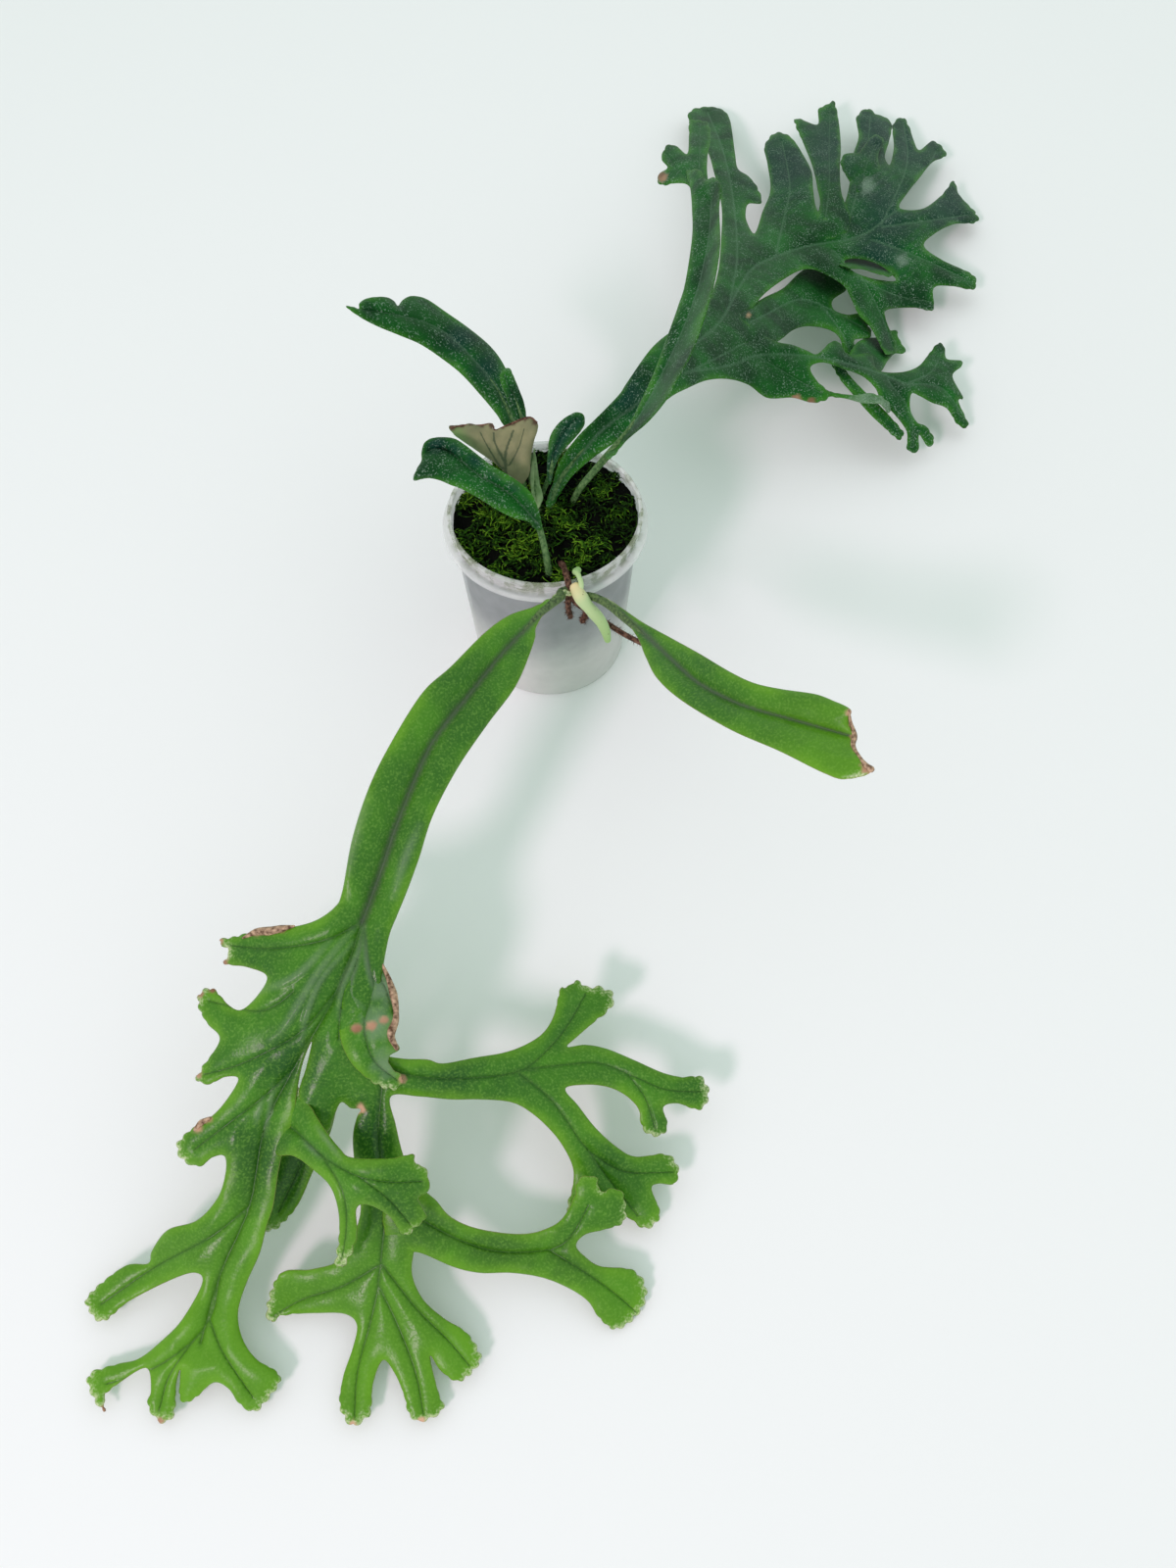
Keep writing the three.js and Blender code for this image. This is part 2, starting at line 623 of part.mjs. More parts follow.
// Right leaf: a strap that rises to a torn, dry end
const rightLeaf = {
  outline: [
    [604, 607], [620, 608], [637, 622], [656, 635], [685, 651], [714, 667], [746, 686], [770, 697],
    [797, 703], [831, 708], [848, 714], [868, 724], [866, 736], [872, 750], [871, 762], [882, 779],
    [889, 785], [886, 790], [872, 794], [857, 795], [843, 790], [828, 783], [794, 766], [746, 745],
    [697, 716], [671, 693], [659, 671], [650, 650], [632, 626], [612, 612],
  ],
  pins: [
    [605, 608, 87.6], [640, 628, 96], [676, 664, 107], [714, 698, 116], [758, 720, 124], [807, 734, 131],
    [867, 751, 138], [720, 665, 117], [800, 765, 128],
  ],
  folds: [{
    line: [[620, 615], [637, 628], [676, 664], [714, 698], [758, 720], [807, 734], [867, 751]],
    slope: -0.12,
    reach: 24,
  }],
};
const rightCell = 14;
const rightStipe = stalkPath(
  rightLeaf,
  [vector(13.9, -45.9, 86.9), vector(16.8, -46.6, 86.6)],
  [[608, 610], [622, 618], [638, 632]],
);
addPiece('frond_right_cut', geometryOf(fuse([
  layerSolid(rightLeaf, rightCell), rod(rightStipe, stipeRadius),
])), finishes.freshBlade);

// Rear frond, main layer: the long base, two left lobes, the arch with its fan and the lower branch
const rearBase = [
  [563, 497], [571, 471], [589, 446], [606, 429], [621, 414], [633, 401], [640, 390], [665, 355],
  [690, 335], [716, 322], [726, 300], [733, 275], [736, 240], [736, 209],
];
const rearUpperLobes = [
  [727, 170], [722, 155], [712, 140], [703, 124], [705, 113], [722, 109], [737, 112], [745, 123],
  [750, 156], [753, 172], [764, 180], [773, 192], [777, 207], [764, 208], [761, 216], [762, 226],
  [770, 238], [778, 216], [786, 194], [783, 167], [780, 150], [789, 137], [799, 136], [809, 142],
  [819, 157], [828, 175], [830, 195], [833, 212], [842, 222], [858, 214], [866, 192], [870, 160],
  [876, 140], [874, 120], [885, 111], [895, 117], [904, 120], [910, 128], [907, 145], [903, 160],
  [908, 168], [912, 150], [911, 128], [921, 120], [928, 130], [932, 142], [938, 153], [951, 144],
  [961, 150], [965, 159], [951, 166], [938, 182], [926, 197], [918, 212], [941, 213], [961, 199],
  [973, 185], [979, 199], [996, 218], [996, 227], [973, 229], [953, 239], [943, 251],
];
const rearArch = [
  [961, 265], [993, 281], [993, 295], [971, 292], [953, 294], [952, 316], [933, 314], [906, 316],
  [904, 326], [915, 356], [904, 361], [896, 348], [888, 334], [876, 321], [868, 304], [861, 292],
  [846, 282], [829, 275], [814, 277], [794, 289], [779, 301], [768, 314], [756, 322], [772, 336],
  [791, 348],
];
const rearLowerBranch = [
  [809, 352], [824, 358], [834, 361], [848, 349], [857, 350], [866, 362], [888, 361], [894, 376],
  [906, 380], [924, 379], [938, 373], [948, 361], [958, 350], [964, 355], [966, 366], [981, 368],
  [981, 374], [972, 384], [983, 406], [978, 409], [988, 434], [978, 434], [966, 417], [951, 411],
  [938, 404], [930, 402], [929, 418], [936, 431], [945, 435], [953, 449], [947, 456], [938, 444],
  [937, 460], [926, 459], [925, 440], [911, 421], [899, 409], [893, 396], [880, 384], [862, 377],
  [840, 370], [827, 375], [834, 389], [846, 400], [844, 407], [829, 411], [809, 406], [783, 406], [764, 393],
  [744, 387], [722, 388], [702, 396], [682, 407], [655, 432], [630, 450], [607, 466], [586, 484],
  [574, 500],
];
const rearRib = [
  [565, 510], [575, 484], [600, 455], [646, 415], [680, 385], [705, 355], [730, 325], [752, 297],
  [775, 275], [810, 258], [850, 246], [880, 225],
];
const rearMain = {
  outline: [[557, 515], ...rearBase, ...rearUpperLobes, ...rearArch, ...rearLowerBranch, [563, 517]],
  pins: [
    [560, 518, 86], [575, 480, 92], [610, 440, 99], [650, 405, 103], [690, 375, 98], [715, 345, 88],
    [745, 315, 73], [770, 270, 56], [742, 230, 50], [730, 165, 31], [720, 112, 8], [775, 200, 34],
    [795, 140, 24], [800, 200, 38], [820, 255, 44], [860, 240, 41], [880, 180, 34], [887, 115, 16],
    [922, 125, 12], [958, 152, 11], [932, 185, 26], [974, 190, 12], [995, 223, 7], [950, 238, 24],
    [990, 288, 12], [950, 312, 14], [905, 300, 25], [910, 356, 13], [800, 372, 54], [840, 405, 44],
    [785, 402, 50], [870, 368, 40], [930, 390, 29], [978, 371, 14], [984, 430, 8], [950, 452, 9],
    [930, 456, 11], [960, 353, 15],
  ],
  folds: [{ line: rearRib, slope: -0.1, reach: 18 }],
};

// Rear frond, middle branch that passes behind the arch
const rearBehindArch = {
  outline: [
    [738, 330], [757, 318], [779, 304], [799, 294], [816, 278], [832, 270], [852, 278], [864, 294],
    [850, 306], [851, 316], [864, 321], [879, 321], [889, 339], [886, 345], [872, 347], [873, 357],
    [869, 365], [862, 360], [856, 344], [844, 336], [824, 333], [809, 337], [790, 350], [760, 352],
    [738, 345],
  ],
  pins: [[745, 338, 72], [800, 312, 48], [832, 285, 33], [850, 335, 33], [885, 335, 22], [868, 360, 25]],
  from: rearMain,
  root: [[748, 320], [762, 346]],
  hold: 10,
  leave: 36,
  offset: -0.4,
};

// Rear frond, lobe that stands between its neighbours
const rearBetween = {
  outline: [
    [811, 125], [815, 121], [834, 127], [835, 112], [844, 107], [851, 104], [856, 125], [858, 150],
    [857, 172], [859, 198], [868, 222], [862, 240], [838, 246], [822, 240], [836, 212], [834, 192],
    [829, 170], [820, 147],
  ],
  pins: [[845, 235, 44], [845, 190, 40], [845, 150, 30], [850, 108, 20], [814, 124, 22]],
  from: rearMain,
  root: [[828, 242], [862, 236]],
  hold: 8,
  leave: 34,
  offset: 0.35,
};
const rearCell = 12;
const rearStipe = stalkPath(
  rearMain,
  [vector(1.2, 1.4, 78.5), vector(1.5, 2.2, 83)],
  [[563, 507], [572, 488], [590, 462]],
);
addPiece('frond_rear_crested', geometryOf(fuse([
  layerSolid(rearMain, rearCell),
  ...[rearBehindArch, rearBetween].map((layer) => layerSolid(layer, rearCell)),
  rod(rearStipe, stipeRadius),
])), finishes.matureBlade);

// Folded frond: a strap folded along its rib, with a small crest
const foldedRib = [[629, 455], [655, 422], [677, 380], [698, 335], [714, 290], [724, 240], [726, 205]];
const foldedStrap = {
  outline: [
    [617, 466], [629, 451], [640, 437], [665, 385], [681, 343], [692, 312], [699, 289], [706, 243],
    [706, 213], [704, 190], [700, 176], [707, 173], [715, 174], [720, 183], [729, 181], [736, 192],
    [734, 213], [735, 250], [730, 285], [721, 318], [707, 359], [690, 390], [681, 407], [662, 430],
    [640, 449], [625, 466],
  ],
  pins: [
    [620, 465, 108], [640, 445, 116], [680, 375, 133], [705, 300, 142], [715, 240, 142], [715, 180, 134],
  ],
  folds: [{ line: foldedRib, slope: -0.35, reach: 18 }],
};
const foldedCrest = {
  outline: [
    [704, 124], [714, 123], [723, 127], [725, 142], [722, 160], [722, 180], [727, 205], [722, 232],
    [712, 232], [708, 208], [703, 190], [690, 187], [677, 189], [671, 185], [673, 177], [681, 171],
    [675, 162], [680, 149], [690, 149], [701, 157], [703, 140],
  ],
  pins: [
    [714, 220, 138], [713, 190, 133], [713, 155, 126], [714, 126, 117], [675, 160, 122], [674, 185, 124],
  ],
  from: foldedStrap,
  root: [[712, 235], [722, 228]],
  hold: 8,
  leave: 30,
  offset: -0.4,
};
const foldedStipe = stalkPath(
  foldedStrap,
  [vector(12, 8.6, 78.5), vector(11.9, 8.4, 84), sightPoint(592, 498, 94), sightPoint(606, 481, 101)],
  [[624, 460], [640, 441]],
);
const foldedCell = 11;
addPiece('frond_rear_folded', geometryOf(fuse([
  layerSolid(foldedStrap, foldedCell), layerSolid(foldedCrest, foldedCell), rod(foldedStipe, stipeRadius),
])), finishes.matureBlade);

// Upper left leaf
const upperLeft = {
  outline: [
    [353, 313], [367, 309], [376, 304], [393, 303], [406, 309], [420, 302], [435, 305], [456, 319],
    [480, 336], [501, 354], [515, 374], [524, 400], [528, 426], [526, 440], [517, 438], [506, 422],
    [491, 404], [472, 383], [455, 369], [430, 352], [407, 342], [385, 333], [368, 324],
  ],
  pins: [
    [353, 313, 152], [400, 320, 139], [440, 330, 127], [456, 319, 124], [455, 369, 121], [480, 362, 117],
    [505, 395, 108], [525, 438, 99],
  ],
  folds: [{
    line: [[400, 321], [438, 331], [466, 350], [494, 380], [508, 397], [522, 430]],
    slope: 0.12,
    reach: 20,
  }],
};
const upperLeftStipe = stalkPath(
  upperLeft,
  [vector(-10.2, 14.2, 78.5), vector(-10, 14, 84.5), sightPoint(532, 470, 93)],
  [[522, 431], [510, 404]],
);
const smallCell = 12;
addPiece('frond_upper_left', geometryOf(fuse([
  layerSolid(upperLeft, smallCell), rod(upperLeftStipe, stipeRadius),
])), finishes.matureBlade);

// Short blade beside the upper left leaf
const besideBlade = {
  outline: [
    [510, 386], [514, 377], [520, 376], [525, 386], [530, 398], [535, 412], [537, 430], [530, 436],
    [524, 428], [518, 410],
  ],
  pins: [[515, 380, 127], [512, 395, 125], [530, 400, 123], [532, 430, 114]],
  folds: [{ line: [[515, 384], [525, 405], [533, 430]], slope: 0.25, reach: 8 }],
};
const besideStipe = stalkPath(
  besideBlade,
  [vector(-6.4, 17.4, 78.5), vector(-6.6, 17.2, 84), sightPoint(540.5, 466, 99.5)],
  [[533, 430], [526, 408]],
);
const fineCell = 7;
addPiece('frondlet_beside', geometryOf(fuse([
  layerSolid(besideBlade, fineCell), rod(besideStipe, slimStipeRadius),
])), finishes.matureBlade);

// Cut leaf that shows its dry underside
const cutLeaf = {
  outline: [
    [458, 436], [462, 434], [472, 434], [479, 432], [490, 434], [501, 432], [504, 439], [514, 435],
    [526, 430], [539, 425], [547, 430], [549, 437], [545, 450], [542, 466], [540, 484], [531, 494],
    [517, 484], [505, 473], [485, 459], [465, 445],
  ],
  pins: [[531, 492, 97], [545, 430, 117], [500, 436, 113], [460, 436, 110], [500, 465, 106], [540, 465, 106]],
};
const cutStipe = stalkPath(
  cutLeaf,
  [vector(-6.6, 8.6, 78.5), vector(-6.8, 8.4, 84)],
  [[532, 488], [527, 472]],
);
addPiece('frond_cut_brown', geometryOf(fuse([
  layerSolid(cutLeaf, smallCell), rod(cutStipe, slimStipeRadius),
])), finishes.dryBlade);

// Small left leaf
const leftSmall = {
  outline: [
    [430, 462], [433, 452], [441, 447], [454, 446], [465, 448], [476, 455], [490, 466], [502, 475],
    [516, 483], [530, 492], [541, 502], [546, 511], [551, 525], [553, 540], [546, 540], [540, 533],
    [526, 529], [514, 524], [502, 517], [486, 507], [471, 499], [460, 495], [448, 490], [436, 488],
    [422, 490], [425, 479], [430, 470],
  ],
  pins: [[425, 485, 108], [440, 455, 111], [480, 478, 114], [520, 507, 109], [550, 535, 101]],
  folds: [{
    line: [[460, 464], [476, 475], [490, 486], [508, 496], [526, 509], [540, 522], [549, 535]],
    slope: -0.2,
    reach: 16,
  }],
};
const leftSmallStipe = stalkPath(
  leftSmall,
  [vector(2.2, -31.6, 78.5), vector(2, -31.4, 84), sightPoint(557, 566, 91.5), sightPoint(553, 548, 96)],
  [[547, 530], [538, 518]],
);
addPiece('frond_left_small', geometryOf(fuse([
  layerSolid(leftSmall, smallCell), rod(leftSmallStipe, stipeRadius),
])), finishes.matureBlade);

// Small round leaf
const roundLeaf = {
  outline: [
    [559, 492], [558, 476], [559, 461], [561, 446], [568, 434], [577, 426], [587, 421], [594, 422],
    [597, 429], [594, 438], [585, 449], [575, 460], [568, 472], [564, 484], [562, 494],
  ],
  pins: [[560, 490, 98], [565, 455, 110], [590, 425, 119]],
};
const roundStipe = stalkPath(
  roundLeaf,
  [vector(-2.2, 9.8, 78.5), vector(-2.4, 9.8, 84)],
  [[561, 484], [565, 466]],
);
const roundCell = 9;
addPiece('frondlet_round', geometryOf(fuse([
  layerSolid(roundLeaf, roundCell), rod(roundStipe, slimStipeRadius),
])), finishes.matureBlade);

// Narrow young leaf
const youngLeaf = {
  outline: [
    [545, 457], [547, 466], [549, 480], [551, 494], [554, 508], [549, 519], [544, 512], [542, 500],
    [541, 486], [543, 470],
  ],
  pins: [[545, 458, 101], [542, 490, 95], [553, 497, 94], [549, 518, 90.5]],
};
const youngStipe = stalkPath(
  youngLeaf,
  [vector(-2.4, 3.4, 78.5), vector(-2.5, 3.2, 84)],
  [[548, 506], [546, 484]],
);
addPiece('frondlet_young', geometryOf(fuse([
  layerSolid(youngLeaf, fineCell), rod(youngStipe, slimStipeRadius),
])), finishes.youngBlade);

// Creeping stem that comes out of the moss and over the rim, with its roots
const rhizomePath = [
  vector(6.6, -24, 80.5), vector(7.6, -29, 86), vector(8.6, -34, 89.4), vector(9.8, -40, 91.2),
  vector(10.6, -44.4, 90.9), vector(11, -46.9, 89),
];
const rootPaths = [
  [vector(10.9, -46.6, 89), vector(10.4, -48.2, 85.6), vector(10.4, -48.8, 81), vector(11.2, -48.4, 75)],
  [vector(11, -46.6, 88.6), vector(13.4, -48, 84), vector(19, -48.6, 78.5), vector(26, -49.4, 72.5),
    vector(34, -51, 66.5), vector(43, -52, 60.5)],
];
const rhizome = fuse([rod(rhizomePath, rhizomeRadius), ...rootPaths.map((path) => rod(path, rootRadius))]);
addPiece('rhizome', geometryOf(rhizome), finishes.scalyStem);

// Pale growing tip of the stem, which hangs over the rim, with a coiled bud on it
const tipSides = 8;
const tipPath = [
  vector(14.6, -48.6, 92), vector(15.2, -51.2, 90.8), vector(18, -52.4, 87.6), vector(21, -52.9, 83.6),
  vector(24.2, -53.6, 78.6), vector(26, -54.6, 73.6), vector(26.9, -55.4, 68.4),
];
const budPath = [
  vector(15.2, -50, 91.8), vector(15.8, -47.2, 94.6), vector(14.4, -42.8, 95.6), vector(13.4, -40.6, 94.4),
  vector(14.4, -38.9, 93.4),
];
addPiece('rhizome_tip', geometryOf(fuse([
  rod(tipPath, tipRadius, tipSides), rod(budPath, budRadius),
])), finishes.paleTip);

// Living moss: a cushion with mounds, with plain holes for the stalks and the creeping stem
const mossRings = 7;
const mossSpokes = 30;
const mossBottom = substrateTop + touchGap;
const mossLowest = ledgeTop - 0.4;
const tufts = {
  height: 0.9,
  waves: [0.31, 0.27],
  shift: [1.3, -0.4],
  ripple: 0.6,
  rippleWaves: [0.33, 0.52],
};
function mossTop(x, y) {
  const mound = mossMound * (1 - (Math.hypot(x, y) / shoulderRadius) ** 2);
  const hills = Math.sin(tufts.waves[0] * x + tufts.shift[0]) * Math.cos(tufts.waves[1] * y + tufts.shift[1]);
  const ripple = tufts.ripple * Math.sin(tufts.rippleWaves[0] * x + tufts.rippleWaves[1] * y);
  return Math.max(mossEdgeHeight + mound + tufts.height * (hills + ripple), mossLowest);
}
function mossSolid() {
  const positions = [0, 0, mossTop(0, 0)];
  const faces = [];
  const topRadius = collarRadius - wallThickness - touchGap;
  const bottomRadius = innerRadius(mossBottom) - touchGap;
  const ringRadius = (ring) => (topRadius * ring) / mossRings;
  for (let ring = 1; ring <= mossRings; ring += 1) {
    for (let spoke = 0; spoke < mossSpokes; spoke += 1) {
      const turn = (2 * Math.PI * spoke) / mossSpokes;
      const [x, y] = [ringRadius(ring) * Math.cos(turn), ringRadius(ring) * Math.sin(turn)];
      positions.push(x, y, mossTop(x, y));
    }
  }
  const shoulders = [
    [topRadius, mossLowest - touchGap], [innerRadius(shoulderHeight) - touchGap, shoulderHeight - 1],
    [bottomRadius, mossBottom],
  ];
  for (const [radius, height] of shoulders) {
    for (let spoke = 0; spoke < mossSpokes; spoke += 1) {
      const turn = (2 * Math.PI * spoke) / mossSpokes;
      positions.push(radius * Math.cos(turn), radius * Math.sin(turn), height);
    }
  }
  positions.push(0, 0, mossBottom);
  const last = positions.length / 3 - 1;
  const at = (ring, spoke) => 1 + (ring - 1) * mossSpokes + (spoke % mossSpokes);
  const rings = mossRings + shoulders.length;
  for (let spoke = 0; spoke < mossSpokes; spoke += 1) {
    faces.push(0, at(1, spoke), at(1, spoke + 1));
    for (let ring = 1; ring < rings; ring += 1) {
      faces.push(at(ring, spoke), at(ring + 1, spoke), at(ring + 1, spoke + 1));
      faces.push(at(ring, spoke), at(ring + 1, spoke + 1), at(ring, spoke + 1));
    }
    faces.push(at(rings, spoke), last, at(rings, spoke + 1));
  }
  return solidOf(indexed(positions, faces));
}

// A stalk's hole follows the stalk a little wider, and goes a little deeper than its end.
const holeRoom = 0.7;
const holeDepth = 0.6;
function holeFor(path, radius) {
  const deeper = path[0].clone().add(path[0].clone().sub(path[1]).setLength(holeDepth));
  return rod([deeper, ...path.slice(0, 4)], radius + holeRoom);
}
const mossHoles = [
  [rearStipe, stipeRadius], [foldedStipe, stipeRadius], [upperLeftStipe, stipeRadius],
  [besideStipe, slimStipeRadius], [cutStipe, slimStipeRadius], [leftSmallStipe, stipeRadius],
  [roundStipe, slimStipeRadius], [youngStipe, slimStipeRadius], [rhizomePath, rhizomeRadius],
];
const moss = mossHoles.reduce((solid, [path, radius]) => solid.subtract(holeFor(path, radius)), mossSolid());
addPiece('moss_mat', geometryOf(moss), finishes.livingMoss);

export default fern;
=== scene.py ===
# A crested strap fern in a small frosted nursery pot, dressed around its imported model.
import math
from functools import partial

import bpy
import numpy as np
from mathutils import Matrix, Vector
from mathutils.geometry import delaunay_2d_cdt


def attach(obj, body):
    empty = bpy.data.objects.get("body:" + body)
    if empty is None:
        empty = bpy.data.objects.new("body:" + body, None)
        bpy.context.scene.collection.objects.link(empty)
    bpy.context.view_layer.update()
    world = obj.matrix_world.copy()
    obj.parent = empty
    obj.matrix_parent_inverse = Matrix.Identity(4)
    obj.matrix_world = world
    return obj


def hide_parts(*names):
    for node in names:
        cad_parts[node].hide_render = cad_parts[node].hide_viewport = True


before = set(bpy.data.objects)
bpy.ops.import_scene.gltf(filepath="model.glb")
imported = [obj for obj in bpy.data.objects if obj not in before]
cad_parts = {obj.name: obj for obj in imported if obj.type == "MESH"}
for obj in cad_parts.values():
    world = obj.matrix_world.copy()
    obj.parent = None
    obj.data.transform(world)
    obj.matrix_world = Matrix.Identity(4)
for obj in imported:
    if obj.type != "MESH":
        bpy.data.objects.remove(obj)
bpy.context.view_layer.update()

randomDraws = np.random.default_rng(11)
metres = 0.001  # all shapes are worked out in millimetres and stored in metres

# Blades are outlined as they look from the camera, in a picture 1200 wide and 1600 high.
# A picture point is carried along its line of sight to the blade's height there.
view = {
    "place": (18.6, -364.5, 464.0),
    "pitch": 59.0,  # degrees below the horizon
    "focus": 1200.0,
    "centre": (600.0, 800.0),
    "sensor": 36.0,
    "pictureHeight": 1600.0,
}
viewPlace, viewPitch = np.array(view["place"]), math.radians(view["pitch"])
viewForward = np.array([0, math.cos(viewPitch), -math.sin(viewPitch)])
viewUp = np.array([0, math.sin(viewPitch), math.cos(viewPitch)])
viewRight = np.array([1.0, 0, 0])


def sightPoints(x, y, height):
    # place + ray * reach, where the ray passes the picture point and the reach ends at the height
    x, y, height = np.broadcast_arrays(*(np.asarray(each, float) for each in (x, y, height)))
    across = (x - view["centre"][0]) / view["focus"]
    rise = (view["centre"][1] - y) / view["focus"]
    ray = viewForward + across[..., None] * viewRight + rise[..., None] * viewUp
    reach = (height - viewPlace[2]) / ray[..., 2]
    return viewPlace + ray * reach[..., None]


def smoothStep(low, high, value):
    # 0 before low and 1 after high, with 3t^2 - 2t^3 in between
    t = np.clip((value - low) / (high - low), 0, 1)
    return t * t * (3 - 2 * t)


def unit(vectors):
    return vectors / np.linalg.norm(vectors, axis=-1, keepdims=True)


def between(ends, share):
    return ends[0] + (ends[1] - ends[0]) * share


def catmullRom(a, b, c, d, t):
    # cubic from b to c whose end slopes are half the chords a-c and b-d
    return ((2 * t**3 - 3 * t**2 + 1) * b + (t**3 - 2 * t**2 + t) * (c - a) / 2
            + (3 * t**2 - 2 * t**3) * c + (t**3 - t**2) * (d - b) / 2)


def roundedLoop(points, step):
    # closed outline: one cubic per side, cut into pieces about one step long
    points = np.array(points, float)
    pieces = []
    for k in range(len(points)):
        a, b, c, d = (points[(k + shift) % len(points)] for shift in (-1, 0, 1, 2))
        count = max(1, round(np.hypot(*(c - b)) / step))
        pieces.append(catmullRom(a, b, c, d, (np.arange(count) / count)[:, None]))
    return np.concatenate(pieces)


def roundedPath(points, count):
    # open curve through the points, resampled at even lengths
    points = np.array(points, float)
    ends = np.vstack([2 * points[0] - points[1], points, 2 * points[-1] - points[-2]])
    fine = np.linspace(0, 1, 12, endpoint=False)[:, None]
    curve = np.vstack([*[catmullRom(*ends[k:k + 4], fine) for k in range(len(points) - 1)], points[-1:]])
    length = np.r_[0, np.cumsum(np.linalg.norm(np.diff(curve, axis=0), axis=1))]
    even = np.linspace(0, length[-1], count)
    return np.stack([np.interp(even, length, curve[:, k]) for k in range(curve.shape[1])], axis=1)


def segmentDistance(x, y, a, b):
    # distance to the segment a-b, and how far along it the nearest point is
    dx, dy = b[0] - a[0], b[1] - a[1]
    t = np.clip(((x - a[0]) * dx + (y - a[1]) * dy) / max(dx * dx + dy * dy, 1e-9), 0, 1)
    return np.hypot(x - a[0] - t * dx, y - a[1] - t * dy), t


def lineDistance(line, x, y):
    return np.min([segmentDistance(x, y, a, b)[0] for a, b in zip(line, line[1:])], axis=0)


def alongSides(line, x, y):
    # for each side of the rounded line, the distance to it and how far along the line it is nearest
    line = roundedPath(line, 3 * len(line))
    for k, (a, b) in enumerate(zip(line, line[1:])):
        distance, t = segmentDistance(x, y, a, b)
        yield distance, (k + t) / (len(line) - 1)


def marginField(loops, carried, x, y):
    # distance to the outlines, positive inside by the even-odd rule, and the value that the nearest
    # side of an outline carries
    best, value, inside = np.full(len(x), np.inf), np.zeros(len(x)), np.zeros(len(x), bool)
    starts, ends = np.vstack(loops), np.vstack([np.roll(loop, -1, axis=0) for loop in loops])
    for a, b, carriedHere in zip(starts, ends, carried):
        distance = segmentDistance(x, y, a, b)[0]
        value = np.where(distance < best, carriedHere, value)
        best = np.minimum(best, distance)
        if a[1] != b[1]:
            inside ^= ((a[1] > y) != (b[1] > y)) & (x < (b[0] - a[0]) * (y - a[1]) / (b[1] - a[1]) + a[0])
    return np.where(inside, best, -best), value


def marginDistance(loops, x, y):
    return marginField(loops, np.zeros(sum(len(loop) for loop in loops)), x, y)[0]


def outwardNormals(loop):
    # unit normals of a closed outline, whichever way round it runs
    area = np.sum(loop[:, 0] * np.roll(loop[:, 1], -1) - np.roll(loop[:, 0], -1) * loop[:, 1])
    tangent = np.roll(loop, -1, axis=0) - np.roll(loop, 1, axis=0)
    return unit(np.stack([tangent[:, 1], -tangent[:, 0]], axis=1)) * np.sign(area), np.sign(area)


def scalloped(loop, style):
    # Every lobe's end bulges into rounded teeth: the outline moves out along its normal by
    # depth * end * (|sin(pi * s / tooth)| - 0.5), where s is the length along it with a slow drift.
    # end is 0 on straight and hollow stretches and 1 where the outline turns by more than about
    # 115 degrees between one reach behind a point and one reach ahead of it.
    outward, sense = outwardNormals(loop)
    ahead = np.roll(loop, -1, axis=0) - loop
    length = np.linalg.norm(ahead, axis=1)
    steps = max(2, round(style["endReach"] / length.mean()))
    heading = np.unwrap(np.tile(np.arctan2(ahead[:, 1], ahead[:, 0]), 3))
    middle = np.arange(len(loop), 2 * len(loop))
    end = smoothStep(0.9, 2.0, sense * (heading[middle + steps] - heading[middle - steps]))
    end = np.convolve(np.tile(end, 3), np.full(steps, 1 / steps), "same")[middle]
    arc = np.cumsum(length)
    teeth = np.abs(np.sin(np.pi * (arc + 4 * np.sin(arc / 29)) / style["tooth"])) - 0.5
    return loop + (style["toothDepth"] * end * teeth)[:, None] * outward, end


def pinnedHeight(pins):
    # thin-plate spline: every pin adds r squared times log r, plus one tilted plane
    pins = np.array(pins, float)
    scale, count = 100.0, len(pins)

    def kernel(dx, dy):
        square = (dx * dx + dy * dy) / scale**2
        return square * np.log(np.maximum(square, 1e-12))

    plane = np.c_[np.ones(count), pins[:, :2] / scale]
    bending = kernel(pins[:, None, 0] - pins[:, 0], pins[:, None, 1] - pins[:, 1])
    matrix = np.block([[bending, plane], [plane.T, np.zeros((3, 3))]])
    weight = np.linalg.solve(matrix, np.r_[pins[:, 2], 0, 0, 0])
    return lambda x, y: (kernel(x[:, None] - pins[:, 0], y[:, None] - pins[:, 1]) @ weight[:count]
                         + weight[count] + (weight[count + 1] * x + weight[count + 2] * y) / scale)


floorClearance = 1.2
foldRound = 3.0


def layerHeight(layer, x, y):
    # pins give the broad form, each fold line a keel or a trough; a layer that grows from another
    # follows it round its root line and leaves it further out
    height = pinnedHeight(layer["pins"])(x, y)
    for fold in layer.get("folds", []):
        away = np.minimum(lineDistance(fold["line"], x, y), fold["reach"])
        height = height - fold["slope"] * (np.hypot(away, foldRound) - foldRound)
    if "from" in layer:
        leave = smoothStep(layer["hold"], layer["hold"] + layer["leave"], lineDistance(layer["root"], x, y))
        height = (1 - leave) * (layerHeight(layer["from"], x, y) + layer["offset"]) + leave * height
    return np.maximum(height, floorClearance)


def veinField(veins, x, y):
    # smallest distance to a vein in half-widths of that vein, and the plain distance to the nearest
    ratio, plain = np.full(len(x), 9.0), np.full(len(x), 99.0)
    for line, widths in veins:
        for distance, share in alongSides(line, x, y):
            ratio = np.minimum(ratio, distance / between(widths, share))
            plain = np.minimum(plain, distance)
    return ratio, plain


